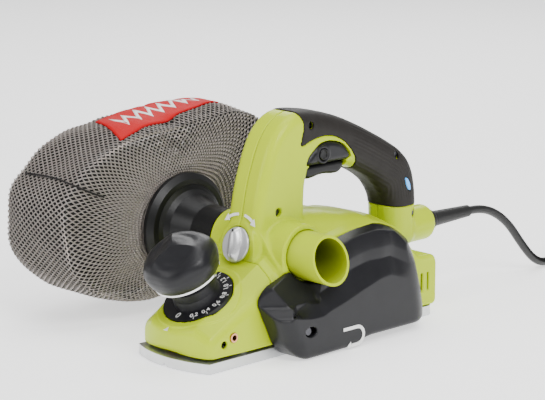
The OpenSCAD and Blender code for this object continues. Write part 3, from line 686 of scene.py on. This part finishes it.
def body(x, y, z):
    """Both housing halves together, before they are split."""
    w = np.abs(y)
    loop = handle(x, y, z)
    loop = np.minimum(within(loop, FIT_GAP - mould_zone(x, z)), loop + MOULD_DEPTH)
    d = blend_min(casing(x, y, z), loop, 3)
    d = within(d, FIT_GAP - pod_side(x, z) - 3 * (z < POD_FOOT))
    for degrees in TRIGGER_SWEEP:
        outside = OFF * (degrees > 0) * (w > 14.8)
        d = within(d, 0.5 - trigger_path(x, z, degrees) - outside)
    collar = rod_y(x, y, z, *DUCT, 25.7, -46, 46, 1.5)
    t, up = selector_frame(x, z)
    selector_boss = extruded(np.hypot(up, y) - 20.5, t + 15.8, 15, 1.2)
    cord_boss = extruded(np.hypot(y, z - CORD_EXIT_Z) - 16.5, x + 158, 20, 6)
    motor_end = rod_y(x, y, z, *MOTOR, 41, -55, -38, 6)
    d = blend_min(d, collar, 4)
    d = blend_min(d, within(nose(x, y, z), x - FRONT_X, 47 - x), 3)
    d = blend_min(d, selector_boss, 4)
    d = blend_min(d, cord_boss, 3)
    d = np.minimum(d, motor_end)
    selector_seat = within(np.hypot(up, y) - 16.2, -t - 2.3)
    duct_bore = away(x, z, DUCT) - 21.3
    cord_way = within(np.hypot(y, z - CORD_EXIT_Z) - 7.4, x + 160)
    drum_room = within(away(x, z, DRUM) - 33.6, z - 80, w - 60)
    d = cut_from(d, selector_seat, duct_bore, rear_slots(x, y, z), motor_slots(x, y, z),
                 cord_way, drum_room)
    for sx, sz, radius in SCREWS:
        d = within(d, radius - away(x, z, (sx, sz)) - OFF * (w < 13))
    return within(d, x - FRONT_X)


def body_room(x, y, z):
    """The hollow inside the housing."""
    d = np.minimum(casing(x, y, z) + 3.2, handle(x, y, z) + 5)
    d = np.minimum(d, rod_y(x, y, z, *MOTOR, 38, -52, 0, 2))
    return within(d, x - 48)


def left_half(x, y, z):
    return within(body(x, y, z), SPLIT_GAP - y)


def right_half(x, y, z):
    return within(body(x, y, z), y + SPLIT_GAP)


def grip(x, y, z):
    """Soft overmould with fine ribs along the loop."""
    loop = handle(x, y, z)
    ribbed = ramp(x, -56, -64) * ramp(z, 104, 109) * ramp(np.abs(y), 4, 8)
    ribs = 0.32 * np.abs(np.sin(pi * handle_outer(x, z) / 3.1)) * ribbed
    d = np.maximum(loop - 0.35 + ribs - 0.2 * ribbed, mould_zone(x, z))
    d = cut_from(d, loop + 2)
    for sx, sz, _ in SCREWS:
        d = cut_from(d, away(x, z, (sx, sz)) - 3.5)
    return within(d, 0.25 - indicator_spot(x, y, z))


def indicator_spot(x, y, z):
    """An oval column through the grip's left side, where the live indicator sits."""
    dx, dz = x - INDICATOR[0], z - INDICATOR[1]
    along = dx * INDICATOR_WAY[0] + dz * INDICATOR_WAY[1]
    across = dz * INDICATOR_WAY[0] - dx * INDICATOR_WAY[1]
    return within((np.hypot(along / 6.5, across / 2.0) - 1) * 2.0, 4 - y)


def indicator(x, y, z):
    loop = handle(x, y, z)
    return cut_from(np.maximum(loop - 0.9, indicator_spot(x, y, z)), loop + 2)


def front_block(x, y, z):
    """The front housing, with the dial's well and the holes in its sides."""
    u, v = on_slope(x, y, z)
    block = nose(x, y, z)
    ring = extruded(v - 38, u - 58, 3.9, 0.6)
    d = blend_min(block, np.maximum(ring, block - 1), 1.2)
    well = within(v - 32, 59.2 - u)
    insert_holes = within(away(x, z, INSERT) - 4.05, 35 - np.abs(y))
    side_hole = within(away(x, z, SIDE_HOLE) - 3.3, 38 - y)
    return within(cut_from(d, well, v - 5.1, insert_holes, side_hole), 60.8 - x)


def front_room(x, y, z):
    """The hollow inside the front housing, open below."""
    _, v = on_slope(x, y, z)
    below = within(10 - z, z - 14, nose(x, y, 20 + 0 * z) + 3)
    return within(np.minimum(nose(x, y, z) + 3, below), 9 - v)


def cover_face(x, z):
    """How far out the belt cover's face stands: a ledge falls from a ridge to a valley."""
    ridge, valley = np.interp(x, *RIDGE), np.interp(x, *VALLEY)
    depth = (9 - 3.5 * ramp(x, -25, -52)) * ramp(x, 68, 50) * ramp(x, -86, -62)
    t = np.clip((z - ridge) / np.maximum(valley - ridge, 4), 0, 1)
    above = np.clip((z - valley) / 30, 0, 2)
    upper = COVER_OUTER - depth + 1.5 * np.clip(above * 3, 0, 1) * (x < 20) - 7 * above ** 2
    front = np.minimum(62 - 0.62 * (z - 52), 60 - 0.85 * (x - 65.5) - 0.1 * (z - 54))
    front = np.where(z > 38, front + 10 * ramp(z, 50, 38), 99)
    face = np.where(z > valley, upper, COVER_OUTER - depth * t)
    return np.minimum(face, front + 30 * ramp(x, 30, 8))


def cover_skin(x, y, z):
    """The belt cover as one solid lump, endless towards the body."""
    d = cover_side(x, z)
    r = 5 + 10 * ramp(x, 20, 55) * ramp(z, 0, 20) + 5 * ramp(z, 70, 90)
    corner = 0.69 * (y - 46) - 0.72 * (x - np.interp(z, *REAR)) - 0.5
    slab = extruded(d, y - COVER_INNER, COVER_OUTER - COVER_INNER, r)
    slab = blend_max(np.where(y < COVER_INNER, d, slab), corner, 9)
    return blend_max(slab, (y - cover_face(x, z)) * 0.9, 1.0)


def cover(x, y, z):
    """The belt cover's outside, with its openings for the left outlet and its screw."""
    slab = np.maximum(cover_skin(x, y, z), COVER_INNER - y)
    oval = np.hypot((x - COVER_SCREW[0]) / 1.6, z - COVER_SCREW[1]) - 4.3
    return cut_from(slab, rod_y(x, y, z, *DUCT, 23.2, 30, 99, 0.5),
                    rod_y(x, y, z, *DUCT, 26.1, 30, 47.2, 0.2), within(oval, 67 - y))


def cover_room(x, y, z):
    """The hollow inside the belt cover, clear of the outlet and of the screw's seat."""
    d = cut_from(cover_skin(x, y, z) + 2.8, away(x, z, DUCT) - 26.5)
    return within(d, 7.2 - away(x, z, (44, 25)) - OFF * (y < 60))


def pod(x, y, z):
    """The trigger surround, with a collar round the lock-off button."""
    w = np.abs(y)
    d = extruded(pod_side(x, z), y, POD_HALF, 5)
    ring = np.abs(away(x, z, BUTTON) - 7) - 1.1
    d = blend_min(d, np.maximum(ring, np.abs(y - 18) - 2.9), 0.8)
    d = within(d, 5.3 - away(x, z, BUTTON) - OFF * (y < 12))
    inside = within(w - 14.6, x + 16, z - 167)
    arm = within(w - 14.6, x, z - 154)
    pivot = within(w - 5.6, x + 6.5, z - 161)
    return cut_from(d, inside, arm, pivot)


def trigger(x, y, z):
    """The trigger's lever, with the arm that its pivot runs through."""
    lever = extruded(trigger_side(x, z), y, TRIGGER_HALF, 4)
    arm = extruded(within(np.abs(x + 13.2) - 3.6, np.abs(z - 155) - 4.4), y, 5.2, 0.6)
    return cut_from(blend_min(lever, arm, 1), away(x, z, TRIGGER_PIVOT) - 1.6)


def selector(x, y, z):
    """Silver disc with a lens-shaped finger bar, a little off upright."""
    t, up = selector_frame(x, z)
    along, across = turned(up, y, (0, 0), radians(8))
    half = 7.2 - 3.2 * (along / 14.6) ** 2
    bar = np.clip(1 - (across / half) ** 2, 0, 1) ** 0.8
    rise = bar * np.clip(1.15 - (along / 15) ** 4, 0, 1)
    top = (t - 0.2 - 6 * rise) * 0.55
    return blend_max(blend_max(top, np.hypot(up, y) - 15.5, 0.8), -t - 2, 0.3)


def knob_cap(mat):
    """Domed cap with six finger hollows round its rim and three scoops in its top."""
    profile = [(28.7, 0), (30, 0.1), (31.8, 4), (33, 8), (33.5, 12), (33, 16), (30.5, 21),
               (26, 25.5), (21, 28.3), (14, 30.1), (7, 30.7), (0.01, 30.9)]
    rows = [(r0 + (r1 - r0) * k / 3, h0 + (h1 - h0) * k / 3)
            for (r0, h0), (r1, h1) in zip(profile, profile[1:]) for k in range(3)] + profile[-1:]
    c, s = cos(KNOB_LEAN), sin(KNOB_LEAN)
    segments, n = 120, len(rows)
    verts = []
    for k in range(segments):
        angle = 2 * pi * k / segments
        hollow = 0.5 - 0.5 * cos(6 * angle + pi)
        scoop = (0.5 - 0.5 * cos(3 * angle + 0.6)) ** 0.45
        for r, h in rows:
            out = r * (1 - 0.06 * hollow * max(0.0, 1 - abs(h - 15) / 16))
            dip = 4.2 * scoop * max(0.0, 1 - abs(r - 18) / 14) ** 0.8 * (h > 12)
            u = CAP_FOOT + (h - dip)
            verts.append((KNOB_FOOT + u * s + out * cos(angle) * c, out * sin(angle),
                          u * c - out * cos(angle) * s))
    ends = [[k * n for k in range(segments)][::-1], [k * n + n - 1 for k in range(segments)]]
    faces = grid_faces(segments, n, close_columns=False) + ends
    return add_mesh("knob_cap_dome", verts, faces, mat)


def place_piece(obj, body_name, slot_name, *replaced):
    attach(obj, body_name)
    if replaced:
        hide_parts(*replaced)


# name, shape, lowest and highest corner, grid step, finish, body, CAD node and hollow, if any
MOULDED = [
    ("housing_left", left_half, (-180, 0, 8), (62, 47, 203), 1.2,
     "lime_shell", "chassis", "left_housing", body_room),
    ("housing_right", right_half, (-180, -57, 8), (62, 0, 203), 1.2,
     "lime_shell", "chassis", "right_housing", body_room),
    ("housing_front", front_block, (59, -47, 10), (143, 47, 86), 1.0,
     "lime_shell", "chassis", "front_housing", front_room),
    ("belt_cover_shell", cover, (-124, 44, -1), (84, 76, 101), 1.0,
     "charcoal_shell", "chassis", "belt_cover", cover_room),
    ("grip_skin", grip, (-153, -22, 96), (8, 22, 204), 0.85,
     "grip_rubber", "chassis", "grip_overmould"),
    ("indicator_window", indicator, (-150, 2, 104), (-120, 24, 134), 0.5,
     "indicator_lens", "chassis", "live_indicator"),
    ("trigger_pod", pod, (-63, -23, 150), (0, 23, 175), 0.7,
     "charcoal_shell", "chassis", "trigger_surround"),
    ("trigger_lever", trigger, (-58, -15, 138), (-3, 15, 162), 0.7,
     "black_plastic", "trigger_lever", "trigger"),
    ("selector_dial", selector, (57, -17, 75), (72, 17, 109), 0.45,
     "silver_knob", "chip_selector", "selector_knob"),
]
BUTTON_PROFILE = [(0.01, -12), (3, -12), (3, -6.2), (5, -6.2), (5, 0), (4.5, 0.6), (3.7, 0.6),
                  (3.2, -0.2), (0.01, -0.4)]


def add_shells(mats):
    """The moulded pieces, the knob's cap and the lock-off button."""
    for name, shape, low, high, step, finish, body_name, node, *room in MOULDED:
        piece = moulded(name, shape, low, high, step, mats[finish], *room)
        place_piece(piece, body_name, finish, node)
    place_piece(knob_cap(mats["charcoal_shell"]), "depth_knob", "charcoal_shell", "knob_cap")
    button = lathe("lock_button_cap", BUTTON_PROFILE, mats["black_plastic"],
                   (BUTTON[0], 21, BUTTON[1]), (0, 1, 0), 48)
    place_piece(button, "lock_plunger", "black_plastic", "lock_button")


# ---------- Markings ----------
SIDE = Vector((0, 1, 0))
TICK = [(-0.3, -1.1), (0.3, -1.1), (0.3, 1.1), (-0.3, 1.1)]
POINTER = [(-2.4, -2), (2.4, -2), (0, 2.4)]
MARK = [(-0.7, 0), (0.7, 0), (0.7, 4.2), (-0.7, 4.2)]
ARROW_HEAD = [(4.6, 7.2), (6.2, 1.7), (-0.9, 2.3)]


def flat_text(words, size, origin, right, up, mat):
    """Thin raised characters on a plane."""
    curve = bpy.data.curves.new("text", "FONT")
    curve.body = words
    curve.size = size * MM
    curve.align_x = "CENTER"
    curve.align_y = "CENTER"
    curve.extrude = 0.06 * MM
    curve.offset = 0.03 * MM
    text = add_object("text", curve)
    depsgraph = bpy.context.evaluated_depsgraph_get()
    mesh = bpy.data.meshes.new_from_object(text.evaluated_get(depsgraph))
    bpy.data.objects.remove(text)
    right, up = right.normalized(), up.normalized()
    turn = Matrix((right, up, right.cross(up))).transposed().to_4x4()
    mesh.transform(Matrix.Translation(origin * MM) @ turn)
    set_material(mesh, mat)
    return add_object("text", mesh)


def slab_piece(name, outline, origin, right, up, thick, mat):
    """A thin flat piece from an outline in its own plane."""
    right, up = right.normalized(), up.normalized()
    out = right.cross(up)
    n = len(outline)
    verts = [tuple(origin + right * a + up * b + out * h)
             for h in (-thick, thick) for a, b in outline]
    faces = [list(range(n))[::-1], list(range(n, 2 * n))]
    faces += [(i, (i + 1) % n, n + (i + 1) % n, n + i) for i in range(n)]
    obj = add_mesh(name, verts, faces, mat, smooth=False)
    face_outwards(obj)
    return obj


def joined(name, parts):
    """One object from several meshes that share a material."""
    mesh = bmesh.new()
    for part in parts:
        mesh.from_mesh(part.data)
    data = bpy.data.meshes.new(name)
    mesh.to_mesh(data)
    mesh.free()
    data.materials.append(parts[0].data.materials[0])
    for part in parts:
        bpy.data.objects.remove(part)
    return add_object(name, data)


def dial_angle(k):
    """Where the k-th number of the depth scale stands, counter-clockwise from the pointer."""
    return radians(12 + 24 * k) if k else 0.0


def add_depth_scale(white):
    """Numbers and ticks on the dial, in steps of 0.2 mm, and the pointer below it."""
    c, s = cos(KNOB_LEAN), sin(KNOB_LEAN)
    axis, fore = Vector((s, 0, c)), Vector((c, 0, -s))
    foot = Vector((KNOB_FOOT, 0, 0))
    dial = foot + axis * 63.25
    parts = []
    for k in range(11):
        angle = dial_angle(k)
        out = fore * cos(angle) + SIDE * sin(angle)
        along = (-out).cross(axis)
        words, size = (f"{k / 5:.1f}", 6.2) if k else ("0", 8.2)
        parts.append(flat_text(words, size, dial + out * 26, along, -out, white))
        if k:
            parts.append(slab_piece("tick", TICK, dial + out * 30, along, -out, 0.06, white))
    place_piece(joined("dial_numbers", parts), "depth_knob", "charcoal_shell")
    place = foot + axis * 61.45 + fore * 41.5
    pointer = slab_piece("zero_pointer", POINTER, place, SIDE, -fore, 0.12, white)
    place_piece(pointer, "chassis", "lime_shell")


def add_turning_arrow(white):
    """The turning arrow low on the belt cover: a stripe along a path, and a head."""
    bend = [(-12.5 - 8 * sin(t), 11.4 + 7.8 * cos(t))
            for t in np.linspace(0.15, pi - 0.1, 12)]
    path = [(4.5, 19.2), (-3.5, 19.2), (-11, 19.2)] + bend + [(-9.5, 3.6), (-6, 3.6)]
    edges = {1.5: [], -1.5: []}
    for i, (x, z) in enumerate(path):
        before, after = path[max(i - 1, 0)], path[min(i + 1, len(path) - 1)]
        dx, dz = after[0] - before[0], after[1] - before[1]
        n = hypot(dx, dz)
        for half, edge in edges.items():
            edge.append((-(x - dz / n * half), z + dx / n * half))
    place, right, up = Vector((0, COVER_OUTER + 0.05, 0)), Vector((-1, 0, 0)), Vector((0, 0, 1))
    parts = [slab_piece("arrow", outline, place, right, up, 0.12, white)
             for outline in (edges[1.5] + edges[-1.5][::-1], ARROW_HEAD)]
    place_piece(joined("turning_arrow", parts), "chassis", "charcoal_shell")


def add_selector_marks(white, black):
    """Curved arrows above the chip selector, and the mark on its finger bar."""
    c, s = cos(SELECTOR_TILT), sin(SELECTOR_TILT)
    up, out = Vector((-s, 0, c)), Vector((c, 0, s))
    centre = Vector((SELECTOR[0], 0, SELECTOR[1]))
    arc = [(r, degrees) for r, way in ((25.2, 1), (27.6, -1)) for degrees in range(8, 34, 3)[::way]]
    tip = [(23.2, 33), (29.4, 33), (26.4, 46)]
    parts = []
    for sign in (-1, 1):
        for shape in (arc, tip):
            outline = [(sign * r * sin(radians(a)), r * cos(radians(a)))
                       for r, a in shape]
            parts.append(slab_piece("arrow", outline, centre + out * 0.05, SIDE, up, 0.3, white))
    place_piece(joined("selector_arrows", parts), "chassis", "lime_shell")
    place = centre + out * 5.4 + up * 8.4 - SIDE * 1.2
    right = SIDE * cos(0.14) + up * sin(0.14)
    mark = slab_piece("selector_mark", MARK, place, right, up, 0.35, black)
    place_piece(mark, "chip_selector", "black_plastic")


# ---------- Dust bag ----------
BAG_SIDE = [(-89, 175), (-64, 180), (-14, 179), (40, 175), (75, 171), (103, 161), (126, 145),
            (143, 130), (151, 118), (152, 98), (147, 66), (137, 44), (110, 27), (84, 16), (53, 11),
            (20, 10), (-30, 10), (-70, 14), (-95, 26), (-107, 58), (-109, 110), (-104, 150)]
BAG_CENTRE = np.array([25.0, 92.0])
MOUTH = np.array([25.0, 85.0])
MOUTH_R = 38.6
AROUND = 132  # threads round the bag
# the rest of this part is in metres
SEWN_R = 0.0405  # nearer to the mouth's axis than this, the cloth is held
SEWN_Y = -0.12
PUFF_LIMIT = 0.006
SINK = 0.002  # drawn back after the puff, so that the net keeps to the CAD bag's space
CRUMPLE = 0.0018
FLOOR_GAP = 0.0035
LINING_INSET = 0.0013
THREAD = 0.0019


def bag_form():
    """The sewn bag before it is blown up: rings from the mouth out, along the gusset and in again."""
    outline = rounded(BAG_SIDE, 3)
    closed = np.vstack([outline, outline[:1]])
    run = np.concatenate([[0], np.cumsum(np.linalg.norm(np.diff(closed, axis=0), axis=1))])
    at = np.linspace(0, run[-1], AROUND, endpoint=False)
    rim = np.stack([np.interp(at, run, closed[:, k]) for k in (0, 1)], axis=1)
    angle = np.arctan2(rim[:, 1] - MOUTH[1], rim[:, 0] - MOUTH[0])
    circle = MOUTH + MOUTH_R * np.stack([np.cos(angle), np.sin(angle)], axis=1)
    spread = rim - BAG_CENTRE
    rings = [(circle + (rim - circle) * t * 0.97, -113 - 7 * t ** 4)
             for t in np.linspace(0, 1, 12)[:-1]]
    for t in np.linspace(0, 1, 14):
        swell = 0.975 + 0.025 * sin(pi * min(1, 2.4 * t) / 2)
        swell -= 0.03 * max(0, t - 0.8) * 5 * t
        rings.append((BAG_CENTRE + spread * swell, -121 - 86 * t))
    for t in np.linspace(0, 1, 13)[1:]:
        rings.append((BAG_CENTRE + spread * 0.955 * (1 - t), -210 - 15 * sin(pi / 2 * t)))
    verts = [(x, y, z) for points, y in rings for x, z in points]
    cloth = add_mesh("bag_cloth", verts, grid_faces(len(rings), AROUND, close_rows=False))
    face_outwards(cloth, weld=0.0008)
    return cloth


def vertex_values(mesh, key="co"):
    return np.array([getattr(v, key) for v in mesh.vertices])


def from_mouth(p):
    return np.hypot(p[:, 0] - MOUTH[0] * MM, p[:, 2] - MOUTH[1] * MM)


def blow_up(cloth):
    """Twenty frames of cloth under pressure, held at the mouth."""
    rest = vertex_values(cloth.data)
    sewn = np.flatnonzero((from_mouth(rest) < SEWN_R) & (rest[:, 1] > SEWN_Y))
    cloth.vertex_groups.new(name="sewn").add(sewn.tolist(), 1.0, "REPLACE")
    sim = cloth.modifiers.new("cloth", "CLOTH")
    settings = dict(quality=5, mass=0.02, tension_stiffness=20, compression_stiffness=12,
                    bending_stiffness=0.4, use_pressure=True, uniform_pressure_force=4,
                    vertex_group_mass="sewn")
    for key, value in settings.items():
        setattr(sim.settings, key, value)
    sim.settings.effector_weights.gravity = 0
    sim.collision_settings.use_collision = False
    for step in range(1, 21):
        scene.frame_set(step)
    apply_modifiers(cloth)
    scene.frame_set(1)


def add_bag():
    """The bag as cloth: blown up a little, then crumpled away from its mouth."""
    cloth = bag_form()
    rest = vertex_values(cloth.data)
    blow_up(cloth)
    move = vertex_values(cloth.data) - rest
    far = np.linalg.norm(move, axis=1)
    p = rest + move * np.minimum(1, PUFF_LIMIT / np.maximum(far, 1e-9))[:, None]
    wave = (np.sin(p[:, 0] * 61 + p[:, 2] * 23) * np.sin(p[:, 2] * 47 - p[:, 1] * 39)
            + 0.5 * np.sin(p[:, 0] * 131 + 2) * np.sin(p[:, 2] * 113 + p[:, 1] * 90))
    free = np.clip((from_mouth(p) - 0.042) / 0.03, 0, 1)
    sunk = SINK
    p = p + vertex_values(cloth.data, "normal") * (wave * CRUMPLE * free - sunk)[:, None]
    p[:, 2] = np.maximum(p[:, 2], FLOOR_GAP)
    cloth.data.vertices.foreach_set("co", p.ravel())
    cloth.data.update()
    return cloth


def net_cells(source):
    """Cells between the middles of a mesh's edges: one in each face, one round each vertex."""
    edge_at = {tuple(sorted(e.vertices)): e.index for e in source.edges}
    cells, around = [], {}
    for poly in source.polygons:
        cells.append([edge_at[tuple(sorted(k))] for k in poly.edge_keys])
        for vertex in poly.vertices:
            ends = [edge_at[tuple(sorted(k))] for k in poly.edge_keys if vertex in k]
            around.setdefault(vertex, []).append(ends)
    for pairs in around.values():
        chain, left = list(pairs[0]), pairs[1:]
        while True:
            pair = next((p for p in left if chain[-1] in p), None)
            if pair is None:
                break
            chain.append(pair[0] if pair[1] == chain[-1] else pair[1])
            left.remove(pair)
        if len(chain) == len(pairs) + 1 and chain[0] == chain[-1]:
            cells.append(chain[:-1])
    return cells


def net_and_lining(cloth, mats):
    """A diamond net on the cloth's edge middles, and a lining just inside it."""
    source = cloth.data
    lining = add_object("bag_lining", source.copy())
    inset = vertex_values(source) - vertex_values(source, "normal") * LINING_INSET
    lining.data.vertices.foreach_set("co", inset.ravel())
    middles = [tuple((source.vertices[a].co + source.vertices[b].co) / 2)
               for a, b in (e.vertices for e in source.edges)]
    mesh = bpy.data.meshes.new("bag_net")
    mesh.from_pydata(middles, [], net_cells(source))
    mesh.validate()
    net = add_object("bag_net", mesh)
    strands = net.modifiers.new("strands", "WIREFRAME")
    strands.thickness = THREAD
    strands.use_even_offset = False
    strands.use_replace = True
    apply_modifiers(net)
    bpy.data.objects.remove(cloth)
    for piece, finish in ((net, "bag_mesh"), (lining, "bag_lining")):
        set_material(piece.data, mats[finish])
        shade_smooth(piece.data)
    return net, lining


def add_seam(tree, mat):
    """The sewn seam across the bag's front corner."""
    middle = Vector((25, -165, 92)) * MM
    line = []
    for k in range(31):
        t = k / 30
        near = Vector((148 - 35 * t, -205 + 85 * t, 139 - 16 * t + 3 * sin(pi * t))) * MM
        hit, normal, _, _ = tree.ray_cast(near + (near - middle) * 0.5, middle - near)
        line.append(hit + normal * 2.5 * MM)
    return tube("bag_seam", line, 0.9, 2, mat, scale=1)


def add_patch(tree, mat):
    """The round patch sewn over the gathered middle of the bag's far side."""
    hit, _, _, _ = tree.ray_cast(Vector((0.025, -0.3, 0.092)), SIDE)
    profile = [(0.01, -1), (11, -1), (11, 1.6), (10.2, 2.3), (0.01, 2.6)]
    return lathe("bag_patch", profile, mat, tuple(hit / MM), (0, -1, 0), 48)


LABEL_CORNERS = [Vector(c) for c in ((-58, -153), (78, -132), (63, -184), (-72, -206))]  # in mm
TEETH = 7


def zigzag(u, v):
    swing = abs((u * TEETH) % 1 - 0.5) * 2
    return 0.08 + 0.84 * u, 0.3 + 0.4 * swing + (v - 0.5) * 0.2


def label_sheet(tree, name, cells_u, cells_v, place, low, high, mat):
    """A sheet on top of the bag; place takes its own u, v to the label's."""
    c = LABEL_CORNERS

    def on_bag(u, v, lift):
        flat = (c[0] * (1 - u) + c[1] * u) * (1 - v) + (c[3] * (1 - u) + c[2] * u) * v
        above = Vector((flat.x * MM, flat.y * MM, 0.25))
        hit, normal, _, _ = tree.ray_cast(above, Vector((0, 0, -1)))
        return tuple((hit + normal * lift * MM) / MM)

    verts = [on_bag(*place(i / cells_u, j / cells_v), lift)
             for lift in (low, high) for j in range(cells_v + 1) for i in range(cells_u + 1)]
    row, sheet = cells_u + 1, (cells_u + 1) * (cells_v + 1)
    faces = []
    for a in (j * row + i for j in range(cells_v) for i in range(cells_u)):
        b = sheet + a
        faces += [(a, a + 1, a + row + 1, a + row), (b, b + row, b + row + 1, b + 1)]
    rim = list(range(row)) + [j * row + cells_u for j in range(1, cells_v + 1)]
    rim += [cells_v * row + i for i in range(cells_u - 1, -1, -1)]
    rim += [j * row for j in range(cells_v - 1, 0, -1)]
    faces += [(a, sheet + a, sheet + b, b) for a, b in zip(rim, rim[1:] + rim[:1])]
    obj = add_mesh(name, verts, faces, mat)
    face_outwards(obj)
    return obj


def add_label(tree, mats):
    """The label on top of the bag, with a plain woven zigzag."""
    return [label_sheet(tree, "bag_label", 48, 18, lambda u, v: (u, v), 1.2, 3.0, mats["label_red"]),
            label_sheet(tree, "bag_label_weave", 84, 1, zigzag, 2.9, 3.3, mats["white_print"])]


def finish_nodes(mats):
    """Every CAD node gets the finish of its slot in the record."""
    slots = {s["node"]: s.get("material_slot") for s in frame["record"]["subparts"]}
    for name, obj in nodes.items():
        if slots.get(name) in mats:
            set_material(obj.data, mats["duct_lime" if name == "chip_duct" else slots[name]])


add_camera()
mats = {name: material(name, *values, **rest) for name, (*values, rest) in FINISHES.items()}
add_cord(mats)
add_studio()
finish_nodes(mats)
add_shells(mats)
add_depth_scale(mats["white_print"])
add_turning_arrow(mats["white_print"])
add_selector_marks(mats["white_print"], mats["black_plastic"])
net, lining = net_and_lining(add_bag(), mats)
for piece in (net, lining):
    place_piece(piece, "bag_unit", "bag_mesh", "dust_bag")
surface = BVHTree.FromObject(lining, bpy.context.evaluated_depsgraph_get())
for piece in (*add_label(surface, mats), add_seam(surface, mats["bag_lining"]),
              add_patch(surface, mats["bag_lining"])):
    place_piece(piece, "bag_unit", "bag_mesh")
